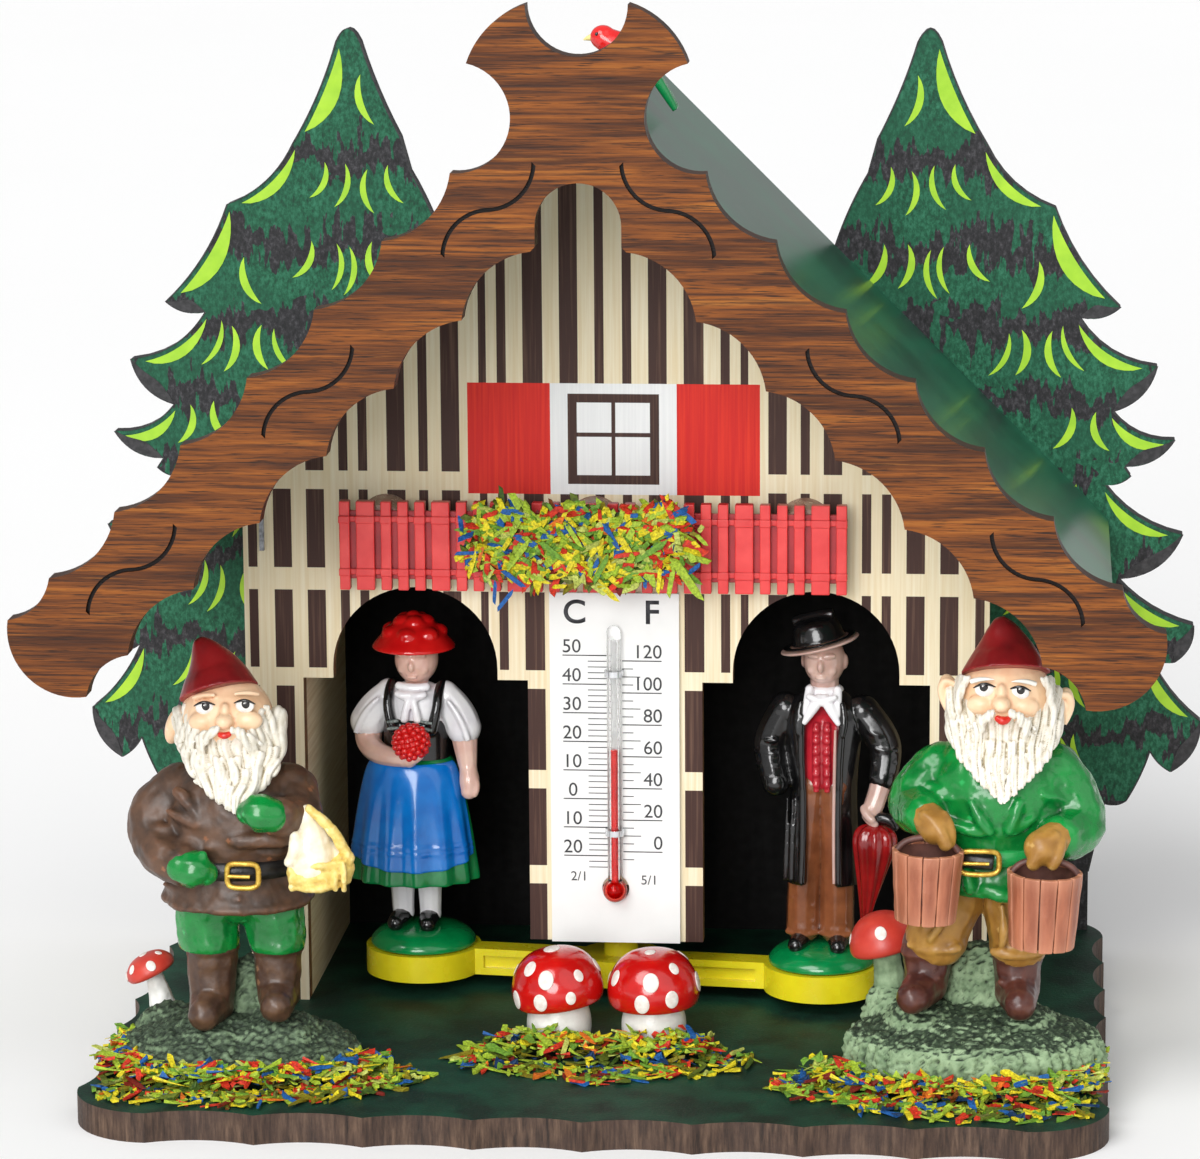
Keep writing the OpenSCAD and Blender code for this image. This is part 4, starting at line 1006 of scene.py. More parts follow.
def beard(name, chin, width, rise, tip, deep, locks, seed, curl, extra, full=0.0):
    """A shield of hair that hangs from ear to ear. Chin is the middle of its top edge, rise lifts its two ends,
    tip is its low point, full rounds its foot. Extra strands are melted in, then wavy grooves are pressed."""
    rnd = random.Random(seed)
    chin, tip = Vector(chin), Vector(tip)

    def at(u, t, out=0.0):
        t = max(t, 0.0)
        half = width * (1 - (0.74 - 0.26 * full) * min(t, 1.1) ** (3 + 2 * full))
        middle = chin.lerp(tip, t)
        round_face = math.cos(u * 1.3)
        back = deep * (1 - round_face) * 1.25 * (1 - 0.72 * min(t, 1))
        lift = rise * abs(u) ** 1.6 * (1 - t) + abs(u) ** 2 * (1.6 + 2.6 * full) * t
        ahead = out * (0.4 + 0.6 * round_face)
        return Vector((middle.x + u * (half + out * 0.5), middle.y + back - ahead, middle.z + lift))

    parts = list(extra)
    for k in range(11):
        u = -0.9 + 0.18 * k
        rod = [at(u, t) + Vector((0, 1.2, 0)) for t in (0.0, 0.3, 0.6, 0.9)]
        parts += limb(rod, [width * 0.2, width * 0.2, width * 0.17, width * 0.1])
    for row in range(3):
        for k in range(locks):
            u = -1 + 2 * (k + 0.5 + rnd.uniform(-0.3, 0.3)) / locks
            t0 = 0.34 + 0.2 * row
            t1 = min(1.1, t0 + rnd.uniform(0.3, 0.4))
            sway = curl * rnd.uniform(-0.6, 0.6)
            thick = rnd.uniform(0.6, 0.85) * 10 / locks
            spots = []
            for j in range(5):
                p = at(u * (1 - 0.015 * j), t0 + (t1 - t0) * j / 4, 0.35)
                spots.append(p + Vector((sway * math.sin(j * 1.2) * 0.6, 0, 0)))
            parts.append(draw(spots, [thick, thick, thick * 0.9, thick * 0.6, 0.12], steps=3, sides=2))
    o = clay(name, parts, 0.19, 3)
    grooves = []
    for v in o.data.vertices:
        u, t = (v.co.x - chin.x) / width, (chin.z - v.co.z) / (chin.z - tip.z)
        wave = curl * math.sin(5.5 * t + 2.3 * u + seed) + 0.5 * curl * math.sin(11 * t - 5 * u)
        broad = abs(math.sin(locks * 1.35 * u * (1 + 0.35 * max(0, t)) + wave))
        fine = abs(math.sin(locks * 3.3 * u * (1 + 0.35 * max(0, t)) + 1.8 * wave + 1.0))
        grooves.append(0.42 * broad ** 0.6 + 0.2 * fine ** 0.7 - 0.3)
    out = [n.vector.copy() for n in o.data.vertex_normals]
    for v, h, n in zip(o.data.vertices, grooves, out):
        v.co += n * h
    return o


def strands(starts, size, steps=3):
    """Tapered strands of hair along lists of points."""
    made = []
    for points in starts:
        along = [i / (len(points) - 1) for i in range(len(points))]
        radii = [size * (0.75 + 0.25 * math.sin(t * 3.1)) * (1 - 0.85 * t ** 3) for t in along]
        made.append(draw(points, radii, steps=steps, sides=2))
    return made


def creases(lines, sink, radii):
    """Folds of cloth: thick lines, sunk a little into the garment."""
    return [draw([(x, y + sink, z) for x, y, z in line], radii) for line in lines]


print("tools for limbs and hair ready")

# %% [markdown]
# Faces, belts, caps and toadstools come on both gnomes in like form, so each has its own tool.

# %% Tools for faces, belts and caps
def eye(at, turn, look, size=1.0):
    """An eye as dabs of paint, white and iris, with a glint on the iris that is a painted highlight, and a dark lid
    line over it.
    """
    x, y, z = at
    white = ball(at, (1.4 * size, 0.55, 1.05 * size), (0, turn, 0))
    iris = ball((x + look[0], y - 0.40, z + look[1] + 0.16), (0.62 * size, 0.28, 0.66 * size))
    # painted highlight: a white glint on the iris
    glint = ball((x + look[0] - 0.18, y - 0.66, z + look[1] + 0.38), (0.12, 0.07, 0.12), segments=10, rings=6)
    a = math.radians(turn)
    arch = []
    for i in range(5):
        u = -1 + i / 2
        dx, dz = u * 1.6 * size, (0.96 - 0.62 * u * u) * size
        arch.append((x + dx * math.cos(a) + dz * math.sin(a), y - 0.42 + 0.35 * u * u,
                     z + dz * math.cos(a) - dx * math.sin(a)))
    lid = draw(arch, [0.08, 0.2, 0.24, 0.2, 0.08])
    return white, iris, glint, lid


def eyes(name, places, size):
    """Both eyes of a gnome, each dab with its paint."""
    made = []
    for k, (at, turn, look) in enumerate(places):
        dabs_on = zip(eye(at, turn, look, size), ("white", "iris", "glint", "lid"),
                      (eye_white, eye_dark, eye_white, eye_dark))
        for o, part, mat in dabs_on:
            o.name = "%s_eye_%s_%d" % (name, part, k)
            made.append((o, mat))
    return made


def buckle(name, at, wide, high, thick):
    """A squarish ring with a pin across it."""
    x, y, z = at
    ring = []
    for a in range(0, 360, 15):
        c, s = math.cos(math.radians(a)), math.sin(math.radians(a))
        box = (abs(c) ** 5 + abs(s) ** 5) ** -0.2
        ring.append((x + wide * c * box, y + 0.05 * (wide * c * box) ** 2, z + high * s * box))
    pin = draw([(x - wide * 0.9, y - 0.3, z), (x + wide * 0.5, y - 0.5, z)], depth=thick * 0.7)
    return join(name, [draw(ring, depth=thick, closed=True), pin])


def torso(profile, squash, place=(0, 0, 0)):
    """A turned body, flattened from front to back."""
    return move(place, turned(profile, 48), size=(1, squash, 1))


def band(name, radius, z, height, thick, squash, place):
    """A belt round a waist."""
    low, high, out = z - height / 2, z + height / 2, radius + thick
    edge = [(radius, low), (out, low + 0.25), (out, high - 0.25), (radius, high), (radius - 1.2, high),
            (radius - 1.2, low), (radius, low)]
    return move(place, join(name, [turned(edge, 72, soft=False)]), size=(1, squash, 1))


def pointed_cap(name, points, radii):
    """A cap drawn up to its tip."""
    return cast(dark_red, name, [draw(points, radii, sides=10)], 0.22, 12, (5, 0.3))


def toadstool(name, profile, steps, hub, spots, size, place, lean, stalk, radii, rough, mat):
    """A toadstool cast with the rock. Hub is where the spots look from, place is the cap's middle, and the cap leans
    about it."""
    cap = join(name + "_shroom_cap", [turned(profile, steps)])
    marks = dabs(name + "_shroom_spots", cap, (0, 0, hub), spots, size)
    move((place[0], place[1], 0), cap, marks)
    tilt([cap, marks], place, lean)
    stem = cast(mat, name + "_shroom_stem", limb(stalk, radii), 0.3, 3, rough)
    return [(cap, resin_red), (marks, spot_white)] + stem


print("gnome tools ready")

# %% [markdown]
# ## Paints for the gnomes
# The first colour is the paint, the second its darker clouds. The wash is darker paint in the hollows and the rub is
# lighter paint on the ridges, partly real paint and partly painted shade and a painted highlight. The rocks have one
# colour where they face up and another on their flanks.

# %% Paints for the gnomes
# the wash darkens the hollows and the rub lightens the ridges, partly as painted shade and a painted highlight
gnome_skin = paint("gnome_skin", (250, 216, 178), (240, 196, 156), size=3, rough=0.35, relief=0.03,
                   wash=(196, 120, 84), rub_and_highlight=(252, 224, 196))
white_hair = paint("white_hair", (236, 231, 219), (216, 208, 190), size=1.2, rough=0.5, relief=0.05,
                   wash=(160, 146, 116), rub_and_highlight=(250, 247, 238))
dark_red = paint("dark_red_cloth", (150, 26, 30), (118, 18, 24), size=5, rough=0.34, relief=0.04, wash=(62, 8, 12),
                 rub_and_highlight=(158, 40, 42))
brown_cloth = paint("brown_cloth", (96, 68, 50), (62, 46, 36), size=3.5, rough=0.42, relief=0.07, wash=(36, 26, 22),
                    rub_and_highlight=(142, 92, 62))
green_cloth = paint("green_cloth", (10, 136, 56), (6, 108, 44), size=5, rough=0.26, relief=0.03, wash=(4, 60, 26),
                    rub_and_highlight=(40, 164, 84), Coat_Weight=0.3)
ochre_cloth = paint("ochre_cloth", (176, 130, 58), (148, 104, 44), size=3, rough=0.36, relief=0.04, wash=(90, 58, 24),
                    rub_and_highlight=(200, 160, 92))
brown_boots = paint("brown_boots", (92, 66, 48), (66, 46, 36), size=3, rough=0.34, relief=0.06, wash=(32, 22, 18),
                    rub_and_highlight=(132, 98, 70))
red_boots = paint("red_brown_boots", (92, 52, 42), (66, 34, 30), size=3, rough=0.3, relief=0.05, wash=(34, 16, 14),
                  rub_and_highlight=(132, 84, 66))
black_belt = paint("black_belt", (38, 36, 36), (20, 19, 19), size=1.5, rough=0.32, relief=0.08)
gilt = paint("gilt", (226, 190, 84), (184, 140, 50), size=0.8, rough=0.25, relief=0.05, wash=(90, 62, 20),
             Metallic=0.55)
eye_white = paint("eye_white", (246, 244, 240), (226, 222, 218), size=0.8, rough=0.2, relief=0.01, Coat_Weight=0.5)
eye_dark = paint("eye_dark", (34, 28, 27), (16, 13, 13), size=0.5, rough=0.2, relief=0.01, Coat_Weight=0.5)
lip_red = paint("lip_red", (222, 52, 36), (198, 36, 28), size=0.7, rough=0.28, relief=0.02)
cream_cloth = paint("cream_cloth", (244, 238, 220), (228, 216, 186), size=2, rough=0.5, relief=0.06,
                    wash=(176, 152, 96))
straw = paint("straw", (236, 210, 122), (214, 180, 86), size=1.5, rough=0.5, relief=0.12, wash=(150, 112, 40),
              rub_and_highlight=(250, 236, 176))
copper_wood = paint("copper_wood", (178, 108, 78), (140, 78, 54), size=2.4, rough=0.4, relief=0.07, wash=(78, 40, 28),
                    rub_and_highlight=(212, 150, 118), streak=(1, 1, 5))
bucket_dark = paint("bucket_dark", (112, 72, 62), (84, 52, 46), size=2, rough=0.5, relief=0.06)
resin_red = paint("resin_red", (200, 62, 48), (184, 46, 36), size=3, rough=0.36, relief=0.03, rub_and_highlight=(216, 98, 80))


def rock_paint(name, top, top_dark, side, side_dark, low, high):
    """Two colours: one where the rock faces up, the other on its flanks. The hollows are darker and the ridges take
    the flank colour, partly a wash and dry brushing, partly painted shade and a painted highlight.
    """
    m = Recipe(name, Specular_IOR_Level=0.35)
    hollow, up = m.bulge(), m.facing("Z")
    grit = m.noise(0.9, 5, rough=0.65)
    crown = m.blend(grit, 0.36, 0.64, rgb(*top_dark), rgb(*top))
    flank = m.blend(m.noise(2.2, 4), 0.34, 0.66, rgb(*side_dark), rgb(*side))
    tint = m.mix(m.ramp(m.math("ADD", up, m.math("MULTIPLY", grit, 0.35)), [(low, 0.0), (high, 1.0)]), flank, crown)
    # painted shade with a wash: a dark green in the hollows
    tint = m.mix(m.ramp(hollow, [(0.42, 0.85), (0.495, 0.0)]), tint, rgb(22, 30, 24))
    # painted highlight with dry brushing: the flank colour on the ridges
    tint = m.mix(m.ramp(hollow, [(0.515, 0.0), (0.62, 0.75)]), tint, rgb(*side))
    m.to(Base_Color=tint, Roughness=m.span(m.noise(1.4), 0.5, 0.85))
    m.relief(grit, 0.3, 0.8)
    return m.mat


dark_rock = rock_paint("dark_rock", (72, 88, 68), (32, 42, 34), (122, 144, 112), (78, 96, 74), 0.62, 0.95)
pale_rock = rock_paint("pale_rock", (66, 84, 62), (32, 43, 34), (152, 176, 138), (112, 136, 102), 0.80, 1.02)
print("gnome paints mixed")

# %% [markdown]
# ## The gnome on the left
# The gnome leans a little, holds a green mitten on the belt and the other on the chest, and has a straw basket with
# a white cloth under the arm. The face is one skin with nose, cheeks and ears pulled out of it. Eyes, lids and
# mouth are dabs of paint.

# %% Left gnome: rock and clothes
pieces = []
rock = [ball((-5.5, 0, 0), (13.6, 12.6, 5.6)), ball((5.2, 0.4, 0), (13.2, 12.6, 5.2)),
        ball((0, 2, 1), (14.5, 10.5, 5.6)), ball((-11.5, 6, 1), (6, 5, 5.4)), ball((-4, -1, 3), (7, 7.6, 3.6)),
        ball((6, -1, 3), (7, 7.4, 4.2)), ball((1, 4, 6), (4.6, 3.4, 9))]
rock = clay("left_gnome_rock", rock, 0.3, 6)
roughen(rock, 2.4, 1.2)
roughen(rock, 0.7, 1.2)
pieces.append((flatten(rock), dark_rock))

shoes = boot(-4.1, 0, 17.6, 5.6, -0.4, 1.06) + boot(5.9, 0.3, 17.6, 7.0, 0.5)
pieces += cast(brown_boots, "left_gnome_boots", shoes, 0.3, 5, (3.0, 0.5))
legs = limb([(-4.5, -0.2, 18.4), (-4.8, 0, 22), (-4.2, 0.4, 27)], [4.7, 5.1, 4.9])
legs += limb([(5.9, 0.0, 18.6), (5.4, 0.2, 22), (4.4, 0.4, 27)], [4.5, 5.0, 4.9])
legs.append(ball((0.5, 0.0, 24.2), (4.2, 4.7, 3.4)))
legs = flatten(roughen(clay("left_gnome_trousers", legs, 0.28, 6), 4.5, 0.9), 17.0)
pieces.append((legs, green_cloth))

coat = [torso([(0, 24.6), (10.6, 24.4), (11.2, 25.2), (10.4, 28.4), (9.9, 30.8), (10.8, 34), (11.2, 38), (9.6, 42.5),
               (6.4, 46), (0, 47)], 0.86, (0, 0.3, 0))]
coat += limb([(-8.2, 0.4, 40.6), (-12.0, -0.4, 38.4), (-12.6, -1.8, 34.6), (-9.4, -6.4, 32.4), (-6.4, -8.8, 31.8)],
             [4.6, 4.3, 4.0, 3.7, 3.2])
coat += limb([(8, 0.4, 40.8), (9.8, -2.4, 38.6), (9.9, -6.4, 38.2), (8.2, -9.6, 39.8)], [4.6, 4.2, 3.7, 3.1])
coat += limb([(9.4, -7.2, 36.6), (5.4, -9.0, 35.6), (1.0, -9.0, 35.8)], [1.9, 1.6, 0.9])
FOLDS = ([(-13.8, -4.4, 36.6), (-11.4, -6.0, 36.2), (-8.6, -7.0, 36.6)],
         [(-9.4, -6.6, 39.6), (-6, -8.4, 38), (-2, -9.2, 37.6)],
         [(-7.4, -8.0, 35.4), (-4, -9.0, 34.6), (0, -9.2, 34.9)],
         [(4.4, -8.6, 33.6), (7.6, -7.4, 33.4), (10, -5, 34)],
         [(-10.6, -4, 27.4), (-5, -8.6, 26.8), (2, -9.6, 26.8)], [(-8, -7.4, 43), (-5.6, -8.0, 41), (-4.4, -8.6, 39)])
coat += creases(FOLDS, 0.85, [0.6, 1.4, 0.6])
hem = [(11.0 * math.cos(math.radians(a)), 0.3 + 9.5 * math.sin(math.radians(a)), 24.9) for a in range(0, 360, 20)]
coat.append(draw(hem, depth=0.75, closed=True))
coat.append(draw([(-7.6, -10.6, 31.0), (-7.7, -9.6, 34.2), (-9.6, -7.4, 35.4), (-10.6, -5.6, 33.4), (-9.2, -8, 30.2)],
                 depth=0.7, closed=True))
pieces += cast(brown_cloth, "left_gnome_coat", coat, 0.3, 15, (4, 0.9))

pieces.append((band("left_gnome_belt", 9.75, 30.8, 2.9, 0.95, 0.87, (0, 0.2, 0)), black_belt))
pieces.append((buckle("left_gnome_buckle", (2.5, -10.0, 30.7), 2.35, 1.85, 0.42), gilt))
print("left gnome dressed")

# %% [markdown]
# The basket is woven from thick straws, upright ones crossed by two level ones, with a handle over the cloth.

# %% Left gnome: mittens and basket
hands = mitten((-5.0, -9.9, 31.6), (2.2, -0.3, -0.3), (0.9, -0.4, 2.3), 1.1)
hands += mitten((5.8, -11.2, 40.6), (-2.3, -0.3, 0.5), (-0.4, -0.2, 2.0), 1.1)
pieces += cast(green_cloth, "left_gnome_mittens", hands, 0.25, 9)

cloth = limb([(11.9, -8.2, 40.4), (12.5, -8.6, 38.0), (13.0, -8.6, 34.6), (12.6, -8.6, 32.4)], [1.0, 2.2, 3.3, 3.6])
cloth += limb([(13.4, -8.2, 37.4), (15.6, -8.4, 34.6), (17.0, -8.2, 32.6)], [0.9, 1.3, 1.2])
cloth += limb([(10.6, -10.6, 37.0), (11.0, -11.4, 34.6), (9.6, -11.0, 33.2)], [0.9, 1.2, 0.8])
pieces += cast(cream_cloth, "left_gnome_cloth", cloth, 0.28, 4, (2.4, 0.5))
bundle = limb([(11.6, -9.4, 30.9), (14.2, -9.6, 30.6), (16.4, -8.6, 31.4)], [2.6, 2.7, 2.5])
for k in range(7):
    x = 9.8 + k * 1.3
    bundle.append(draw([(x, -10.2, 33.2), (x + 0.4, -12.1, 31.0), (x + 0.1, -10.6, 28.8)], [0.4, 0.55, 0.4]))
for z in (29.3, 32.6):
    bundle.append(draw([(9.6, -10.2, z), (12.6, -12.0, z), (16.2, -11.0, z + 0.3), (18.4, -8.4, z + 0.6)],
                       [0.5, 0.6, 0.6, 0.5]))
bundle += limb([(17.4, -9, 33.4), (18.6, -8.4, 32.0), (17.8, -8.4, 30.4)], [0.9, 1.0, 0.9])
bundle += limb([(12.5, -9.4, 41.0), (14.8, -10.0, 39.4), (16.9, -10.0, 36.6), (18.4, -9.2, 33.4)],
               [0.65, 0.85, 0.9, 0.9])
pieces += cast(straw, "left_gnome_bundle", bundle, 0.22, 7, (1.4, 0.5))
print("left gnome holds a basket")

# %% [markdown]
# Whiskers and side hair are single strands that melt into the beard, so that the hair grows out of the face.

# %% Left gnome: head, toadstool and setting down
face = [ball((-0.9, -0.4, 52.4), (7.0, 6.3, 6.8)), ball((-0.2, -6.9, 53.4), (1.3, 1.5, 1.2)),
        ball((-0.2, -6.1, 54.6), (0.75, 0.9, 1.5)), ball((-3.7, -5.3, 53.0), (2.2, 1.4, 1.5)),
        ball((3.1, -5.4, 53.3), (2.2, 1.4, 1.5)), ball((-9.0, 0.4, 50.9), (1.3, 1.7, 2.9), (0, 16, -20)),
        ball((-8.2, 0.2, 51.2), (1.2, 1.3, 1.9)),
        draw([(-5.4, -4.2, 56.3), (-3.6, -5.4, 57.2), (-1.7, -5.6, 57.1)], [0.3, 0.5, 0.3]),
        draw([(1.1, -5.6, 57.3), (3.0, -5.2, 57.6), (4.6, -3.9, 56.9)], [0.3, 0.5, 0.3])]
pieces += cast(gnome_skin, "left_gnome_face", face, 0.2, 4)

pieces += eyes("left_gnome", [((-3.3, -5.75, 55.2), -4, (0.2, 0.14)), ((2.7, -5.85, 55.6), 2, (0.2, 0.14))], 1.0)
lips = limb([(-0.6, -8.25, 51.7), (0.0, -8.5, 51.5), (0.6, -8.25, 51.8)], [0.45, 0.62, 0.45])
pieces += cast(lip_red, "left_gnome_mouth", lips, 0.12, 3)

whiskers = [[(s * 0.9, -8.1, 52.5), (s * 2.2, -8.3, 52.2), (s * 3.8, -7.4, 51.2 - 0.5 * k),
             (s * (5.2 - 0.5 * k), -6.2, 49.8 - 1.2 * k)]
            for s in (-1, 1) for k in range(4)]
for s, x in ((-1, -6.6), (1, 5.4)):
    for k in range(4):
        whiskers.append([(x - s * 0.9 * k, -2.4 - 1.0 * k, 54.8 - 0.4 * k),
                         (x + s * (0.7 - 0.8 * k), -2.8 - 1.0 * k, 52.6 - 0.3 * k),
                         (x + s * (0.9 - 0.7 * k), -3.2 - 0.9 * k, 50.4 - 0.4 * k),
                         (x + s * (0.4 - 0.6 * k), -3.6 - 0.9 * k, 48.4)])
hair = beard("left_gnome_beard", (-0.6, -5.6, 51.4), 7.9, 1.4, (1.3, -9.4, 41.2), 5.4, 8, 7, 1.1,
             strands(whiskers, 0.62))
pieces.append((hair, white_hair))

line = [(-2.0, -0.6, 56.3), (-2.7, 0.5, 58.9), (-3.7, 0.8, 61.4), (-4.7, 0.7, 63.4), (-5.2, 0.6, 64.3)]
pieces += pointed_cap("left_gnome_cap", line, [6.1, 4.8, 3.1, 1.7, 0.75])

pieces += toadstool(
    "left_gnome", [(0, 13.4), (2.0, 13.3), (3.6, 12.0), (4.0, 10.6), (3.4, 9.9), (1.8, 10.3), (0, 10.4)], 40, 10.5,
    [(-40, 30), (20, 20), (70, 40), (-80, 12), (0, 86), (150, 30), (-140, 30)], 0.72, (-15.0, 8.6, 10.5), 26,
    [(-13.0, 8.6, 3.4), (-13.8, 8.6, 7), (-14.9, 8.6, 10.8)], [2.4, 1.7, 1.3], (1.6, 0.4), stem_white)
set_all("left_gnome", pieces, "house", LEFT, 0)

# %% [markdown]
# ## The gnome on the right
# The gnome stands on a block of pale rock with carved flanks and carries two buckets. A bucket is one stave copied
# round a ring, with a dark tub inside.

# %% Right gnome: rock and clothes
DEEP = 0.68  # how deep the slab is for its width
pieces = []
slab = torso([(0, 0), (19.4, 0), (19.7, 2.4), (19.2, 5.2), (17.6, 6.2), (13, 7.2), (7, 9.0), (0, 9.6)], DEEP)
hump = [ball((0.6, 4.6, 8), (6.2, 4.8, 10.5)), ball((-12.6, 8.2, 4), (4.4, 4.2, 7.4)),
        ball((-7.2, 0.6, 7.4), (6, 7, 2.9)), ball((6.2, 1.0, 7.2), (6, 7, 2.6))]
rock = clay("right_gnome_rock", [slab] + hump, 0.3, 4)
for v in rock.data.vertices:
    around = math.atan2(v.co.y / DEEP, v.co.x)
    if v.co.z < 6.2 and math.hypot(v.co.x, v.co.y / DEEP) > 16:
        ridge = 0.5 + 0.5 * math.sin(46 * around + 2.2 * math.sin(7 * around))
        pull = 1 - 0.028 * ridge ** 2 - 0.012 * math.sin(9 * around)
        v.co = (v.co.x * pull, v.co.y * pull, v.co.z)
roughen(rock, 2.0, 0.9)
roughen(rock, 0.7, 1.0)
pieces.append((flatten(rock), pale_rock))

shoes = boot(-7.0, -0.6, 18.8, 10.2, -2.0, 1.0) + boot(6.4, -0.2, 18.4, 9.4, 0.4, 1.0)
shoes += limb([(-9.6, -3.2, 14.8), (-7.6, -4.4, 14.4), (-5.4, -3.6, 14.8)], [0.5, 0.7, 0.5])
shoes += limb([(3.9, -3.2, 14.2), (6.2, -4.2, 13.8), (8.6, -3.2, 14.2)], [0.5, 0.7, 0.5])
pieces += cast(red_boots, "right_gnome_boots", shoes, 0.28, 5, (3, 0.5))

legs = (limb([(-5.6, -1.0, 20.6), (-4.6, 0, 24), (-2.2, 0.4, 30)], [4.7, 5.2, 5.0]) +
        limb([(6.6, -0.6, 20.0), (6.2, 0, 24), (5.2, 0.4, 30)], [4.5, 5.0, 5.0]) +
        limb([(-9.4, -3.2, 19.8), (-6.4, -5.8, 19.2), (-2.4, -4.8, 19.8)], [0.7, 1.0, 0.6]) +
        limb([(2.8, -4.4, 19.4), (6.4, -5.6, 18.6), (10, -3.2, 19)], [0.6, 1.0, 0.7]) +
        limb([(-3.4, -5.6, 27), (-4.6, -6.2, 24), (-6.4, -5.8, 21.4)], [0.5, 0.9, 0.5]) +
        limb([(4.0, -5.2, 26.4), (4.8, -5.8, 23.4), (4.0, -5.2, 20.6)], [0.5, 0.8, 0.5]))
pieces += cast(ochre_cloth, "right_gnome_trousers", legs, 0.3, 4, (3.4, 0.7))

coat = [torso([(0, 28.2), (9.4, 28.0), (10.0, 28.8), (9.4, 32), (9.2, 34.4), (10.4, 38), (11.2, 43), (10, 47.4),
               (6.6, 51), (0, 52)], 0.86, (3.2, 0.3, 0))]
coat += limb([(-4.8, 0.2, 45.4), (-8.2, -0.6, 43.4), (-9.6, -3.0, 40.4), (-7.6, -7.0, 40.6)], [4.6, 4.2, 3.8, 3.3])
coat += limb([(11.4, 0.2, 45.4), (14.6, -0.6, 41.4), (15.4, -3.0, 37.0), (12.6, -7.6, 37.6)], [4.7, 4.5, 4.1, 3.4])
coat += limb([(1.6, -7.6, 29.6), (4.4, -8.4, 28.4), (8.6, -7.0, 29.2)], [0.9, 1.6, 0.9])
FOLDS = ([(-8.6, -3.0, 44.8), (-6, -6.0, 44), (-3, -8, 43)],
         [(-4.6, -8.0, 40.0), (-1.6, -9.3, 38.6), (1.6, -9.6, 38.4)],
         [(4.4, -9.6, 38.6), (7, -9.2, 39.4), (8.8, -8.4, 41)],
         [(9.4, -8.0, 44), (11.6, -6.2, 43), (13.6, -4.6, 42.6)],
         [(-0.6, -9.4, 43.4), (0.4, -9.9, 40.8), (2.6, -9.9, 38.4)],
         [(6.6, -9.6, 43.6), (6.0, -9.8, 41), (4.6, -9.9, 38.8)],
         [(13.6, -5.6, 40.4), (15.6, -5.6, 38.6), (17.8, -4.4, 38.2)],
         [(-1.4, -8.6, 33.0), (-0.4, -8.9, 31), (-0.8, -8.5, 29)],
         [(6.8, -8.0, 33.0), (7.4, -8.2, 31), (7.0, -7.8, 29)])
coat += creases(FOLDS, 0.75, [0.6, 1.4, 0.6])
pieces += cast(green_cloth, "right_gnome_tunic", coat, 0.3, 12, (4, 1.0))

pieces.append((band("right_gnome_belt", 8.95, 34.3, 2.6, 0.75, 0.88, (3.2, 0.2, 0)), green_cloth))
leather = draw([(-1.4, -8.2, 34.4), (0.6, -8.9, 34.3), (2.8, -8.9, 34.1)], [1.3, 1.5, 1.3])
pieces += cast(black_belt, "right_gnome_buckle_plate", [leather], 0.2, 2)
pieces.append((buckle("right_gnome_buckle", (0.7, -10.2, 34.3), 2.9, 1.75, 0.4), gilt))
print("right gnome dressed")

# %% [markdown]
# Each hand is a fist with two fingers that hang over a bucket's rim.

# %% Right gnome: hands and buckets
hands = limb([(-7.6, -7.4, 41.2), (-7.0, -8.8, 40.9), (-5.6, -10.4, 39.6)], [2.3, 2.5, 2.6])
hands += limb([(-7.2, -10.8, 41.4), (-5.0, -12.4, 40.4), (-4.2, -12.2, 37.6)], [1.0, 1.3, 1.1])
hands += limb([(-4.6, -10.6, 41.4), (-3.3, -11.4, 39.6), (-3.6, -11.4, 37.6)], [0.9, 1.1, 0.9])
hands += limb([(12.6, -8.0, 38.0), (11.8, -9.4, 38.3), (9.8, -11.2, 37.0)], [2.3, 2.7, 2.7])
hands += limb([(11.6, -11.6, 38.8), (9.4, -13.0, 38.0), (8.6, -12.6, 35.0)], [1.0, 1.3, 1.1])
hands += limb([(12.4, -11.2, 38.0), (12.2, -12.4, 36.4), (11.4, -12.4, 34.8)], [1.0, 1.2, 0.9])
pieces += cast(ochre_cloth, "right_gnome_mittens", hands, 0.25, 4)


STAVES = 13


def bucket(name, at, low_r, top_r, high, lean):
    """Staves round a tub; the rim is a little wider than the foot."""
    turn = 2 * math.pi / STAVES
    clear()
    bpy.ops.mesh.primitive_grid_add(x_subdivisions=4, y_subdivisions=6, size=1)
    stave = bpy.context.object
    for v in stave.data.vertices:
        up = v.co.y + 0.5
        r = low_r + (top_r - low_r) * up
        a = v.co.x * turn * 0.95
        v.co = (r * math.cos(a), r * math.sin(a), up * high)
    use(stave, "SOLIDIFY", thickness=0.75, offset=0)
    use(stave, "BEVEL", width=0.16, segments=2)
    staves = join(name + "_staves", copies(stave, [((0, 0, 0), (0, 0, k * turn), 1) for k in range(STAVES)]))
    drop(stave)
    roughen(staves, 2.2, 0.28)
    hollow = [(0, 0.5), (low_r - 0.1, 0.4), (top_r - 0.15, high - 0.3), (top_r - 0.5, high - 0.35),
              (low_r, high * 0.45), (0, high * 0.42)]
    inner = join(name + "_tub", [turned(hollow, 40, soft=False)])
    grip = []
    for k in range(7):
        a = math.pi * k / 6
        grip.append((top_r * 0.98 * math.cos(a), 0.3 * math.sin(a), high - 0.8 + 2.6 * math.sin(a)))
    handle = join(name + "_handle", [draw(grip, depth=0.5)])
    move(at, staves, inner, handle, turn=(0, math.radians(lean), 0))
    return [(staves, copper_wood), (inner, bucket_dark), (handle, bucket_dark)]


pieces += bucket("right_gnome_bucket_a", (-7.1, -11.2, 25.9), 4.1, 4.9, 10.6, 2)
pieces += bucket("right_gnome_bucket_b", (9.9, -11.6, 22.4), 4.4, 5.15, 11.2, 2)
print("right gnome holds two buckets")

# %% [markdown]
# The head follows the left gnome's, with both ears showing and a fuller beard.

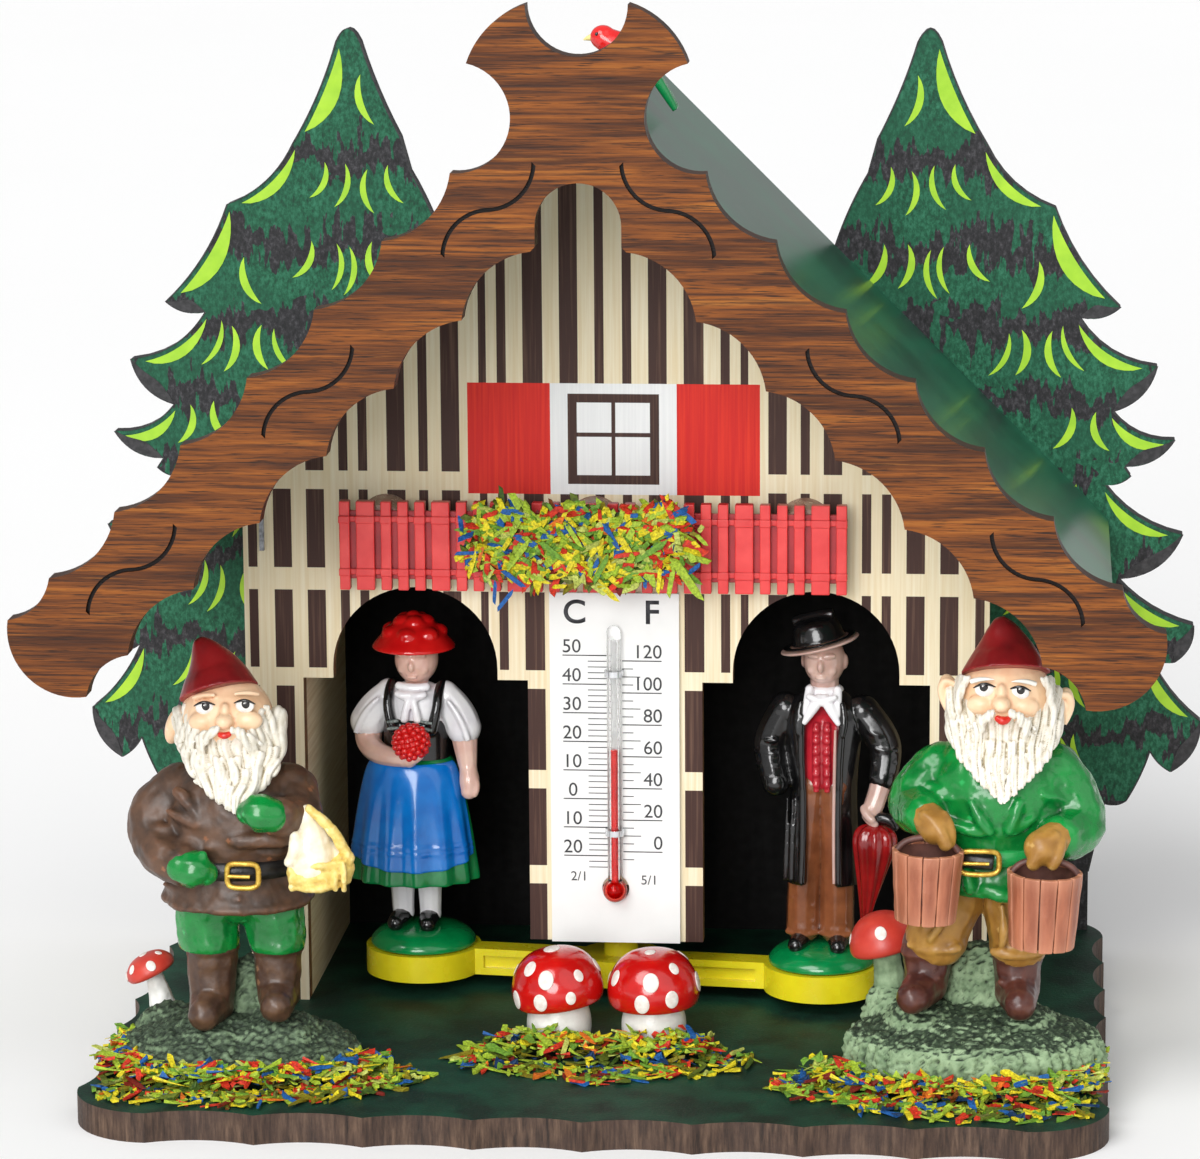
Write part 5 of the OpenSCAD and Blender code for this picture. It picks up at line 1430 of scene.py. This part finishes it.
# %% Right gnome: head, toadstool and setting down
face = [ball((4.2, -0.4, 56.8), (7.0, 6.4, 7.0)), ball((3.7, -7.0, 57.4), (1.35, 1.6, 1.25)),
        ball((3.7, -6.2, 58.8), (0.8, 0.9, 1.5)), ball((0.8, -5.4, 57.0), (2.2, 1.4, 1.5)),
        ball((7.0, -5.4, 56.7), (2.2, 1.4, 1.5))]
for x, y, z, s in ((-4.0, 0.4, 57.2, -1), (12.6, 0.4, 55.4, 1)):
    face += [ball((x, y, z), (1.5, 1.9, 3.0), (0, s * 14, s * 24)), ball((x - s * 1.2, y - 0.2, z), (1.6, 1.5, 2.2))]
    face.append(draw([(x + s * 0.2, y - 1.4, z - 2.2), (x + s * 1.6, y - 1.3, z + 0.4),
                      (x + s * 0.6, y - 1.4, z + 2.8), (x - s * 1.0, y - 1.6, z + 1.6)], [0.5, 0.6, 0.6, 0.4]))
pieces += cast(gnome_skin, "right_gnome_face", face, 0.2, 4)

pieces += eyes("right_gnome", [((1.2, -5.95, 59.3), -3, (-0.1, 0.28)), ((6.3, -5.95, 58.95), 3, (0.15, 0.28))], 1.02)
lips = limb([(3.2, -8.5, 55.6), (3.9, -8.8, 55.1), (4.6, -8.5, 55.5)], [0.5, 0.85, 0.5])
pieces += cast(lip_red, "right_gnome_mouth", lips, 0.12, 3)

whiskers = [[(3.9 + s * 1.0, -8.3, 56.5), (3.9 + s * 2.2, -8.5, 56.1), (3.9 + s * 3.6, -7.8, 55.0 - 0.5 * k),
             (3.9 + s * (4.8 - 0.5 * k), -6.8, 53.6 - 1.1 * k)] for s in (-1, 1) for k in range(4)]
for s in (-1, 1):
    for k in range(6):
        whiskers.append([(4.2 + s * (5.6 + 0.2 * k), -4.2 + k * 0.8, 60.9 - 0.2 * k),
                         (4.2 + s * (6.6 + 0.15 * k), -4.8 + k * 0.8, 58.4),
                         (4.2 + s * (7.0 + 0.1 * k), -5.0 + k * 0.8, 55.8), (4.2 + s * 6.9, -5.2 + k * 0.8, 53.2)])
hair = beard("right_gnome_beard", (4.0, -5.8, 55.6), 7.9, 2.0, (4.1, -9.8, 44.4), 5.2, 13, 11, 0.7,
             strands(whiskers, 0.55), 1.0)
brows = strands([[(-0.8, -5.5, 60.4), (0.9, -6.3, 61.2), (2.6, -6.2, 60.9)],
                 [(8.6, -5.3, 60.1), (6.8, -6.3, 61.0), (5.1, -6.2, 60.6)]], 0.5)
hair = join("right_gnome_beard", [hair] + brows)
pieces.append((hair, white_hair))

line = [(4.2, -0.7, 60.6), (4.1, 0.4, 63.2), (3.8, 0.8, 65.8), (3.4, 0.7, 67.9), (3.2, 0.6, 68.7)]
pieces += pointed_cap("right_gnome_cap", line, [6.7, 5.1, 3.3, 1.8, 0.75])

pieces += toadstool(
    "right_gnome", [(0, 21.6), (2.4, 21.4), (4.6, 19.2), (5.4, 16.6), (4.8, 15.4), (2.4, 16), (0, 16.2)], 44, 16.4,
    [(4, 34), (88, 24), (-82, 24), (170, 40)], 1.05, (-13.6, 8.8, 16), 14,
    [(-12.4, 8.6, 5), (-12.8, 8.6, 11), (-13.6, 8.8, 16.8)], [3.0, 2.4, 1.9], (1.8, 0.5), pale_rock)
set_all("right_gnome", pieces, "house", RIGHT, 0)

# %% [markdown]
# ## The two figures
# Both figures are moulded in skin-coloured plastic and painted over, so bare spots show skin. Their paints are
# glossier than the gnomes', with a clear coat.

# %% Paints for the two figures
def plastic(name, colour, shade, **sockets):
    """Glossy paint on moulded plastic."""
    return paint(name, colour, shade, size=3.5, rough=0.2, relief=0.02, Coat_Weight=0.5, Coat_Roughness=0.06,
                 **sockets)


# each wash darkens its paint in the hollows as painted shade
doll_red = plastic("doll_red", (226, 30, 28), (206, 18, 20), wash=(132, 8, 12))
doll_skin = plastic("doll_skin", (246, 200, 182), (234, 180, 164), wash=(190, 128, 112), Subsurface_Weight=0.15)
tan_skin = plastic("tan_skin", (218, 178, 164), (200, 158, 146), wash=(150, 108, 98), Subsurface_Weight=0.15)
doll_white = plastic("doll_white", (252, 252, 252), (242, 240, 244), wash=(190, 182, 192))
doll_black = plastic("doll_black", (24, 23, 24), (12, 12, 13))
doll_blue = plastic("doll_blue", (4, 126, 216), (2, 110, 200), wash=(2, 66, 140))
doll_green = plastic("doll_green", (4, 140, 74), (2, 118, 60), wash=(2, 70, 36))
doll_brown = plastic("doll_brown", (140, 82, 50), (114, 64, 38), wash=(66, 34, 22))
doll_grey = paint("clasp_grey", (150, 160, 156), (90, 100, 96), size=0.5, rough=0.35, relief=0.03)
umbrella_red = plastic("umbrella_red", (148, 20, 22), (122, 12, 16), wash=(64, 4, 8))
vest_red = plastic("vest_red", (196, 44, 56), (172, 30, 44), wash=(110, 14, 26))
print("figure paints mixed")

# %% [markdown]
# ## The woman
# The skirt is a turned bell with folds pressed in. The apron is a grid wrapped round its front, a little further
# out, with two raised seams near its hem.

# %% Woman: turf, skirt and apron
WOMAN, MAN = (-31.8, 13.1, 10.9), (31.8, 5.9, 10.9)  # where the figures stand on the carousel
REST = -6.5  # degrees that the carousel has turned in the photo
PLEATS, PLEAT_DEPTH = 14, 0.045  # how many, and how deep as a share of the radius
SKIRT_X, SKIRT_FLAT = -1.3, 0.78  # the skirt's middle, and how deep it is for its width
WAIST_Z, HEM_RISE = 30.3, 13.4  # the apron's upper and lower edge
TURF = [(0, 3.3), (4.6, 3.2), (6.9, 2.5), (8.2, 1.3), (8.4, 0.4), (8.1, 0.02), (0, 0.02)]


def bell(z):
    """Radius of the skirt at a height."""
    return 6.3 + 3.9 * max(0.0, (30.2 - z) / 18.6) ** 0.55


def folds(angle, z):
    """Pleats that deepen towards the hem."""
    return 1 + PLEAT_DEPTH * max(0.0, (29.6 - z) / 18.6) * math.cos(PLEATS * angle)


pieces = []
pieces.append((join("woman_turf", [turned(TURF, 56)]), doll_green))
shoes = limb([(-3.3, 0.6, 4.2), (-3.5, -1.6, 4.2), (-3.7, -3.4, 3.9)], [1.6, 1.75, 1.35])
shoes += limb([(1.0, 0.6, 4.2), (1.2, -1.6, 4.2), (1.5, -3.4, 3.9)], [1.6, 1.75, 1.35])
pieces += cast(doll_black, "woman_shoes", shoes, 0.22, 3)
socks = limb([(-3.3, 0.4, 4.8), (-3.4, 0.2, 8), (-3.3, 0.2, 12.5)], [1.75, 1.85, 2.2])
socks += limb([(1.1, 0.4, 4.8), (1.1, 0.2, 8), (1.0, 0.2, 12.5)], [1.75, 1.85, 2.2])
pieces += cast(doll_white, "woman_stockings", socks, 0.24, 3)

hem = [(0, 12.6), (8.6, 12.2), (9.9, 11.0), (10.2, 11.0), (10.2, 11.6)]
skirt = turned(hem + [(bell(z), z) for z in range(13, 30, 2)] + [(6.4, 30.3), (5.0, 30.9), (0, 31.0)], 112)
for v in skirt.data.vertices:
    f = folds(math.atan2(v.co.y, v.co.x), v.co.z)
    v.co = (v.co.x * f + SKIRT_X, v.co.y * f * SKIRT_FLAT, v.co.z)
pieces.append((join("woman_skirt", [skirt]), doll_green))
clear()
bpy.ops.mesh.primitive_grid_add(x_subdivisions=84, y_subdivisions=48, size=2)
apron = bpy.context.object
apron.name = "woman_apron"
for v in apron.data.vertices:
    u, t = v.co.x, (1 - v.co.y) / 2
    z = WAIST_Z - (WAIST_Z - HEM_RISE - 1.9 * u * u) * t
    a = math.radians(-83 + 76 * u)
    seam = sum(0.14 * math.exp(-((z - at) / 0.22) ** 2) for at in (17.2, 16.3))
    r = (bell(z) + 0.35 + seam) * folds(a, z)
    v.co = (r * math.cos(a) + SKIRT_X, r * math.sin(a) * SKIRT_FLAT - 0.25, z)
use(apron, "SOLIDIFY", thickness=0.55, offset=-1)
tidy(apron)
use(apron, "BEVEL", width=0.14, segments=2, limit_method="ANGLE")
pieces.append((smooth(apron), doll_blue))
print("skirt and apron made")

# %% [markdown]
# The black bodice has straps over the shoulders and clasps in front. The blouse has puffed sleeves with ridges, and
# a bow at the neck.

# %% Woman: bodice and blouse
waist = [torso([(0, 29.4), (5.2, 29.4), (5.3, 30.2), (5.2, 33), (5.3, 36.2), (4.6, 37.4), (0, 37.6)], 0.8,
               (-0.7, 0, 0))]
for x, s in ((-4.4, -1), (3.6, 1)):
    waist += limb([(x - s * 0.9, -3.9, 35.6), (x, -4.0, 38.6), (x, -2.6, 41.6), (x, 0, 42.6), (x, 2.6, 41.4),
                   (x - s * 0.6, 3.9, 36)], [0.95, 0.85, 0.8, 0.8, 0.85, 0.95])
pieces += cast(doll_black, "woman_bodice", waist, 0.24, 3)
clasps = []
for x, s in ((-3.3, -1), (2.1, 1)):
    for z in (35.9, 37.0):
        clasps.append(draw([(x - 0.9, -4.75, z + 0.15 * s), (x, -4.95, z), (x + 0.9, -4.75, z - 0.1 * s)],
                           [0.2, 0.34, 0.2]))
pieces.append((join("woman_clasps", clasps), doll_grey))

shirt = [torso([(0, 33), (4.6, 33), (4.9, 37), (4.6, 40.4), (2.6, 42.6), (0, 42.8)], 0.78, (-0.5, 0, 0))]
shirt += limb([(-5.0, 0, 40.6), (-7.3, 0, 38.2), (-8.4, -0.2, 35.9)], [2.2, 3.0, 2.9])
shirt += limb([(4.0, 0, 40.6), (6.2, 0, 38.0), (7.0, -0.2, 35.4)], [2.2, 2.9, 2.8])
for k in range(5):
    y = -2.6 + k * 1.1
    shirt.append(draw([(-6.0, y, 40.2), (-8.8, y - 0.4, 37.8), (-9.8, y - 0.2, 34.4)], [0.3, 0.6, 0.5]))
    shirt.append(draw([(5.0, y, 40.2), (7.4, y - 0.4, 37.6), (8.3, y - 0.2, 33.9)], [0.3, 0.6, 0.5]))
shirt += limb([(-2.7, -2.8, 42.3), (-0.5, -3.5, 41.9), (1.7, -2.8, 42.3)], [0.7, 0.85, 0.7])
shirt += limb([(-0.5, -4.1, 41.2), (-1.7, -4.3, 40.9), (-2.6, -4.1, 41.3)], [0.5, 0.85, 0.6])
shirt += limb([(-0.5, -4.1, 41.2), (0.7, -4.3, 40.9), (1.6, -4.1, 41.3)], [0.5, 0.85, 0.6])
shirt += limb([(-0.8, -4.2, 40.8), (-1.3, -4.5, 39.2), (-1.5, -4.5, 37.4)], [0.5, 0.6, 0.7])
shirt += limb([(-0.2, -4.2, 40.8), (0.3, -4.5, 39.2), (0.6, -4.5, 37.4)], [0.5, 0.6, 0.7])
pieces += cast(doll_white, "woman_blouse", shirt, 0.22, 3)
print("bodice and blouse made")

# %% [markdown]
# Arms, neck and a plain doll's face are one skin. The bouquet is one berry copied round a ball in even turns, and
# the hat has woollen bobbles melted into its crown.

# %% Woman: skin, bouquet and hat
skin = limb([(-8.2, -0.2, 35.4), (-8.7, -0.5, 32.8), (-6.4, -3.4, 31.5), (-3.0, -5.2, 31.2), (-0.4, -6.2, 31.4)],
            [2.4, 2.1, 1.8, 1.5, 1.4])
skin += limb([(-1.2, -6.4, 31.0), (0.6, -6.9, 31.4), (1.5, -6.7, 32.0)], [0.9, 0.9, 0.6])
skin += limb([(7.0, -0.2, 35.2), (7.4, -0.4, 31.6), (7.9, -1.2, 29.0)], [2.3, 1.9, 1.45])
skin += limb([(8.0, -1.4, 28.4), (8.3, -1.8, 27.0), (8.2, -2.2, 25.6)], [1.5, 1.9, 1.3])
skin += limb([(9.0, -2.0, 27.6), (9.7, -2.4, 26.4), (9.2, -2.6, 25.2)], [0.7, 0.7, 0.5])
skin += limb([(-0.5, 0, 41.6), (-0.5, -0.1, 43.6)], [1.8, 2.0])
skin += [ball((-0.5, 0, 46.2), (3.45, 3.7, 4.0)), ball((-0.5, -0.8, 43.9), (2.1, 2.3, 1.4)),
         ball((-0.5, -3.7, 45.6), (0.5, 0.6, 0.9)), ball((-2.0, -2.3, 45.0), (1.0, 0.75, 0.9)),
         ball((1.0, -2.3, 45.0), (1.0, 0.75, 0.9)),
         draw([(-2.7, -2.9, 47.3), (-1.6, -3.45, 47.5), (-0.9, -3.5, 47.2)], [0.3, 0.45, 0.3]),
         draw([(-0.1, -3.5, 47.2), (0.6, -3.45, 47.5), (1.7, -2.9, 47.3)], [0.3, 0.45, 0.3]),
         draw([(-1.3, -3.2, 43.9), (-0.5, -3.5, 43.75), (0.3, -3.2, 43.9)], [0.2, 0.36, 0.2])]
pieces += cast(doll_skin, "woman_skin", skin, 0.18, 6)

BERRIES, GOLDEN = 74, 2.39996  # how many, and the turn from one to the next that spreads them evenly
berry = ball((0, 0, 0), 0.56, segments=10, rings=6)
places = [((0, -6.3, 34.1), (0, 0, 0), 4.6)]
for k in range(BERRIES):
    z = 1 - 2 * (k + 0.5) / BERRIES
    a = k * GOLDEN
    flat_r = math.sqrt(1 - z * z)
    places.append(((2.62 * flat_r * math.cos(a), -6.3 + 2.45 * flat_r * math.sin(a), 34.1 + 2.62 * z), (0, 0, 0), 1))
posy = join("woman_bouquet", copies(berry, places))
drop(berry)
pieces.append((smooth(posy), doll_red))

hat = [turned([(0, 52.9), (2.2, 52.7), (4.0, 51.6), (5.2, 50.0), (6.4, 48.7), (6.7, 48.1), (6.2, 47.9), (4.8, 48.5),
               (3.0, 49.0), (0, 49.1)], 56)]
for count, start, r, z in ((7, 0.2, 3.7, 50.6), (5, 0, 1.7, 52.2)):
    for k in range(count):
        a = k * 2 * math.pi / count + start
        hat.append(ball((r * math.cos(a), r * math.sin(a), z), (1.7, 1.7, 1.2)))
hat.append(ball((0, 0, 52.9), (1.3, 1.3, 1.0)))
pieces.append((move((-0.9, 0, 0), clay("woman_hat", hat, 0.2, 6)), doll_red))
set_all("woman_figure", pieces, "carousel", WOMAN, REST)

# %% [markdown]
# ## The man
# The coat is a profile spun most of the way round, which leaves the front open over the red waistcoat and the brown
# trousers. The furled umbrella is a turned cone with flutes, held by a black grip.

# %% Man: trousers and coat
pieces = []
pieces.append((join("man_turf", [turned(TURF, 56)]), doll_green))
shoes = limb([(-3.0, 0.8, 4.0), (-3.2, -1.6, 3.9), (-3.5, -3.8, 3.6)], [1.6, 1.8, 1.3])
shoes += limb([(2.5, 0.8, 4.0), (2.8, -1.6, 3.9), (3.1, -3.8, 3.6)], [1.6, 1.8, 1.3])
pieces += cast(doll_black, "man_shoes", shoes, 0.22, 3)
legs = limb([(-2.9, 0, 5.8), (-2.9, 0, 12), (-1.9, -0.6, 20), (-1.2, -1.2, 29)], [2.75, 2.7, 2.6, 2.8])
legs += limb([(2.4, 0, 5.8), (2.5, 0, 12), (2.2, -0.6, 20), (1.9, -1.2, 29)], [2.75, 2.7, 2.6, 2.8])
for x in (-2.9, 2.5):
    legs += limb([(x - 2.2, -1.6, 5.2), (x, -2.7, 4.8), (x + 2.2, -1.6, 5.2)], [0.5, 0.6, 0.5])
    legs.append(draw([(x - 1.6, -2.0, 10.8), (x, -2.75, 9.8), (x + 1.8, -1.9, 9.4)], [0.2, 0.4, 0.2]))
    legs.append(draw([(x - 1.8, -1.8, 7.8), (x + 0.2, -2.75, 7.4), (x + 1.8, -1.9, 6.8)], [0.2, 0.4, 0.2]))
pieces += cast(doll_brown, "man_trousers", legs, 0.24, 3)

coat = turned([(5.9, 13.2), (5.6, 16), (5.4, 22), (5.2, 29), (5.8, 35), (6.2, 39), (5.2, 42.2), (2.8, 44)], 60, 304)
move((0, 0, 0), coat, turn=(0, 0, math.radians(-118)))
for v in coat.data.vertices:
    v.co = (v.co.x + 0.2, v.co.y * 0.78, v.co.z)
use(coat, "SOLIDIFY", thickness=1.5, offset=-1)
parts = [coat]
parts += limb([(-5.8, 0.2, 40.4), (-7.9, 0, 36.8), (-8.5, -0.4, 33.4), (-6.9, -2.4, 29.2)], [2.7, 2.7, 2.5, 2.2])
parts += limb([(6.2, 0.2, 40.4), (9.0, 0, 37.2), (10.3, -0.4, 34.0), (9.7, -1.6, 30.4)], [2.7, 2.7, 2.5, 2.2])
FOLDS = ([(-9.8, -1.6, 36.4), (-8.4, -2.7, 35.6), (-6.6, -2.8, 36.0)],
         [(-10.4, -1.8, 34.2), (-8.8, -2.9, 33.4), (-6.8, -2.8, 34.0)],
         [(-10.0, -2.4, 32.2), (-8.2, -3.6, 31.6), (-6.2, -3.0, 32.4)],
         [(-8.8, -3.4, 30.4), (-7.2, -4.3, 29.9), (-5.8, -3.8, 30.6)],
         [(7.6, -2.4, 38.0), (8.8, -2.6, 37.0), (10.6, -1.8, 37.2)],
         [(8.4, -2.6, 35.4), (10.2, -2.8, 34.6), (12.2, -1.8, 35)],
         [(8.2, -2.6, 33.0), (10.2, -2.9, 32.4), (12.2, -2.0, 33)],
         [(7.9, -3.0, 31.0), (9.6, -3.7, 30.4), (11.5, -2.8, 31)])
parts += creases(FOLDS, 0, [0.25, 0.55, 0.25])
parts.append(draw([(-2.5, -4.4, 40.6), (-2.6, -4.7, 35), (-2.3, -4.1, 28), (-2.3, -4.3, 20), (-2.5, -4.5, 13.6)],
                  depth=0.62))
parts.append(draw([(3.9, -4.3, 40.4), (3.5, -4.7, 35), (3.2, -4.1, 28), (3.2, -4.3, 20), (3.3, -4.4, 13.6)],
                  depth=0.62))
parts.append(draw([(-2.6, -3.8, 42.6), (-3.4, -4.4, 40), (-2.9, -4.9, 37.4)], [0.5, 0.9, 0.4]))
parts.append(draw([(3.6, -3.8, 42.6), (4.4, -4.4, 40), (3.9, -4.9, 37.4)], [0.5, 0.9, 0.4]))
for k in range(3):
    x, y = k * 0.9, -0.4 * k
    parts.append(draw([(x - 5.0, y - 2.7, 27), (x - 5.1, y - 3.2, 20), (k - 5.3, -3.0 - 0.5 * k, 13.8)],
                      [0.2, 0.4, 0.5]))
pieces += cast(doll_black, "man_coat", parts, 0.22, 3)
trim = draw([(2.75, -4.6, 38.4), (2.7, -4.8, 34), (2.55, -4.3, 28), (2.5, -4.45, 20), (2.6, -4.6, 14)],
            [0.2, 0.28, 0.3, 0.3, 0.25])
pieces.append((join("man_coat_trim", [trim]), tan_skin))
print("trousers and coat made")

# %% [markdown]
# The waistcoat shows as two rows of knobs. Over it lie a white collar, its two points and a bow.

# %% Man: waistcoat and collar
vest = [torso([(0, 27.8), (4.0, 28.0), (4.3, 31), (4.6, 36), (4.0, 40.5), (0, 42)], 0.9, (0.6, -0.4, 0))]
for row in range(6):
    for x in (-0.25, 1.45):
        vest.append(ball((x, -4.75 + 0.03 * (row - 3) ** 2, 29.6 + row * 1.75), (0.62, 0.5, 0.62), segments=12,
                         rings=8))
for x in (-0.25, 1.45):
    vest.append(draw([(x, -4.2, 28.4), (x, -4.55, 33), (x, -4.2, 39.4)], [0.5, 0.6, 0.5]))
pieces += cast(vest_red, "man_waistcoat", vest, 0.18, 1)

linen = [torso([(0, 41), (3.4, 41.6), (3.2, 43.4), (2.7, 44.6), (0, 44.8)], 0.92, (0.3, 0, 0))]
for s in (-1, 1):
    linen += limb([(0.6 + s * 0.5, -3.9, 43.0), (0.6 + s * 1.7, -4.5, 41.2), (0.6 + s * 2.6, -4.8, 39.5)],
                  [0.9, 0.95, 0.45])
    linen += limb([(0.6 + s * 2.2, -2.6, 44.2), (0.6 + s * 2.3, -3.7, 42.6), (0.6 + s * 2.5, -4.4, 40.8)],
                  [0.7, 0.8, 0.5])
    linen += limb([(0.6, -4.4, 42.7), (0.6 + s * 1.1, -4.7, 43.2), (0.6 + s * 2.0, -4.4, 43.5)], [0.5, 0.65, 0.45])
linen.append(ball((0.6, -4.5, 42.7), (0.75, 0.6, 0.7)))
pieces += cast(doll_white, "man_collar", linen, 0.18, 2)
print("waistcoat and collar made")

# %% [markdown]
# Head and hand are one skin in a browner tone. The hat's pale brim is a piece of its own, and both lean together.

# %% Man: head, hat and umbrella
skin = [ball((0.3, 0, 48.4), (3.25, 3.6, 4.0)), ball((0.3, -0.9, 46.4), (2.3, 2.5, 1.5)),
        ball((0.3, -3.7, 48.0), (0.5, 0.7, 1.0)), ball((-1.1, -2.4, 47.3), (0.95, 0.75, 0.9)),
        ball((1.7, -2.4, 47.3), (0.95, 0.75, 0.9)),
        draw([(-1.9, -2.9, 49.6), (-0.9, -3.45, 49.8), (-0.1, -3.5, 49.5)], [0.3, 0.45, 0.3]),
        draw([(0.7, -3.5, 49.5), (1.5, -3.45, 49.8), (2.5, -2.9, 49.6)], [0.3, 0.45, 0.3]),
        draw([(-0.6, -3.25, 46.3), (0.3, -3.55, 46.1), (1.2, -3.25, 46.3)], [0.2, 0.36, 0.2]),
        ball((-2.9, 0.2, 48.2), (0.5, 0.9, 1.2)), ball((3.5, 0.2, 48.2), (0.5, 0.9, 1.2))]
skin += limb([(0.3, 0.2, 43), (0.3, 0, 46)], [2.2, 2.3])
skin += limb([(9.7, -1.6, 30.8), (9.2, -2.4, 28.2), (8.3, -3.3, 25.6)], [1.75, 1.6, 1.6])
skin += limb([(7.2, -4.0, 26.0), (7.6, -5.0, 25.2), (8.6, -5.3, 24.6)], [0.7, 0.8, 0.6])
skin += limb([(7.4, -3.6, 24.8), (8.2, -4.8, 24.2), (9.0, -4.9, 23.8)], [0.7, 0.8, 0.6])
pieces += cast(tan_skin, "man_skin", skin, 0.18, 6)

rim = turned([(3.0, 51.1), (5.0, 50.7), (6.1, 50.9), (6.3, 51.3), (5.6, 51.35), (3.4, 51.5), (2.8, 51.4),
              (3.0, 51.1)], 56)
crown = [turned([(0, 55.6), (1.8, 55.5), (3.3, 54.9), (3.9, 53.4), (4.1, 51.8), (5.5, 51.45), (6.1, 51.6),
                 (5.6, 51.75), (4.4, 51.9), (0, 51.2)], 56)]
crown.append(draw([(-3.2, 0.2, 55.2), (0, -0.1, 55.6), (3.2, 0.2, 55.2)], [1.1, 1.0, 1.1]))
hat = clay("man_hat", crown, 0.22, 2)
rim.name = "man_hat_brim"
tilt([hat, rim], (0, 0, 51), 14)
move((-0.4, 0.2, -0.3), hat, rim)
pieces += [(hat, doll_black), (rim, tan_skin)]

canopy = turned([(0, 7.4), (0.6, 7.6), (1.0, 10), (1.9, 14.5), (2.9, 19), (3.3, 21.0), (2.9, 22.8), (1.5, 23.7),
                 (0, 23.8)], 72)
for v in canopy.data.vertices:
    f = 1 + 0.09 * math.cos(8 * math.atan2(v.co.y, v.co.x) + 0.25 * v.co.z)
    v.co = (v.co.x * f + 7.3, v.co.y * f * 0.92 - 4.1, v.co.z)
canopy.name = "man_umbrella"
tilt([canopy], (7.3, -4.1, 7.4), -6.7)
pieces.append((canopy, umbrella_red))
grip = limb([(8.9, -4.0, 22.8), (8.8, -4.0, 24.2), (9.9, -4.2, 24.8), (11.6, -4.3, 24.4), (12.0, -4.3, 23.4)],
            [0.8, 0.9, 0.95, 0.9, 0.7])
pieces += cast(doll_black, "man_grip", grip, 0.2, 2)
set_all("man_figure", pieces, "carousel", MAN, REST)

# %% [markdown]
# ## The bird
# The bird on the ridge is the adjuster's knob. Its foot stands on the end of the spindle, so it turns with it. Body,
# wings with the tail, beak, eyes and foot are five pieces, each in its own paint.

# %% Bird
BIRD = (0, 9.5, 149.5)  # the upper end of the spindle
feathers = limb([(-1.6, 0, 5.0), (1.4, 0, 3.7), (4.6, 0, 1.6), (6.0, 0, -0.2)], [1.9, 2.5, 2.0, 1.2])
feathers += [ball((-1.9, 0, 5.3), (2.0, 1.8, 1.9)), ball((1.0, 0, 2.6), (1.9, 1.8, 1.7))]
body = clay("bird_body", feathers, 0.22, 4)
tail = []
for y in (-0.9, 0, 0.9):
    tail.append(draw([(5.2, y * 0.6, 0.8), (7.4, y, -2.6), (9.2, y * 1.3, -5.6)], [0.9, 0.85, 0.5]))
for s in (-1, 1):
    for k in range(4):
        tail.append(draw([(0.6 + 0.5 * k, s * 2.1, 4.4 - 0.6 * k), (2.8 + 0.4 * k, s * 2.3, 2.9 - 0.6 * k),
                          (5.6 + 0.2 * k, s * 1.4, 1.0 - 0.7 * k)], [0.45, 0.6, 0.25]))
tail = clay("bird_wings", tail, 0.2, 2)
beak = join("bird_beak", [draw([(-3.5, 0, 5.3), (-4.3, 0, 5.2), (-4.9, 0, 4.9)], [0.6, 0.42, 0.08])])
beads = join("bird_eyes", [ball((-2.7, s * 1.45, 5.9), (0.32, 0.2, 0.32), segments=12, rings=8) for s in (-1, 1)])
foot = join("bird_foot", [turned([(0, 0.78), (1.3, 0.78), (1.2, 1.4), (0.9, 2.2), (0, 2.4)], 32)])
pieces = [(body, doll_red), (tail, doll_green), (beak, straw), (beads, doll_black), (foot, doll_red)]
set_all("bird", pieces, "adjuster", BIRD, 0)

# %% [markdown]
# ## Camera, light and floor
# The camera stands where the photographer's did. A large soft sun from the upper left, a weaker one from the
# right, one low from the front that reaches under the roof, and an even white sky give a plain studio light.

# %% Camera, light and floor
camera = bpy.data.objects.new("camera", bpy.data.cameras.new("camera"))
scene.collection.objects.link(camera)
# lens, angles and place were solved from the straight edges in the photo
camera.data.sensor_width = 36.0
camera.data.lens = 146.445
yaw, pitch, roll = (math.radians(a) for a in (5.229, 11.552, -0.405))
ahead = Vector((-math.sin(yaw) * math.cos(pitch), math.cos(yaw) * math.cos(pitch), -math.sin(pitch)))
right = Vector((math.cos(yaw), math.sin(yaw), 0))
above = right.cross(ahead)
right, above = (math.cos(roll) * right + math.sin(roll) * above, math.cos(roll) * above - math.sin(roll) * right)
camera.matrix_world = Matrix((right, above, -ahead)).transposed().to_4x4()
camera.location = (0.06474, -0.73008, 0.22202)
camera.data.clip_start = 0.01
camera.data.shift_y = 0.003
scene.camera = camera

for name, strength, lean, swing, spread in (("key", 1.5, 44, -32, 35), ("fill", 0.5, 52, 48, 60),
                                            ("front", 1.9, 74, -9, 30)):
    light = bpy.data.objects.new(name, bpy.data.lights.new(name, "SUN"))
    scene.collection.objects.link(light)
    light.data.energy = strength
    light.data.angle = math.radians(spread)
    light.rotation_euler = (math.radians(lean), 0, math.radians(swing))

world = bpy.data.worlds.new("studio")
scene.world = world
world.use_nodes = True
sky = world.node_tree.nodes["Background"]
sky.inputs["Color"].default_value = (1, 1, 1, 1)
sky.inputs["Strength"].default_value = 0.45
scene.view_settings.view_transform = "Standard"

clear()
bpy.ops.mesh.primitive_plane_add(size=14, location=(0, 3, 0))
floor = bpy.context.object
floor.name = "floor"
m = Recipe("paper", Specular_IOR_Level=0.1)
m.to(Base_Color=m.mix(m.noise(300, 2), (0.94, 0.94, 0.94, 1), (0.96, 0.96, 0.96, 1)))
m.to(Roughness=m.span(m.noise(40), 0.8, 0.95))
floor.data.materials.append(m.mat)
print("camera and light set")
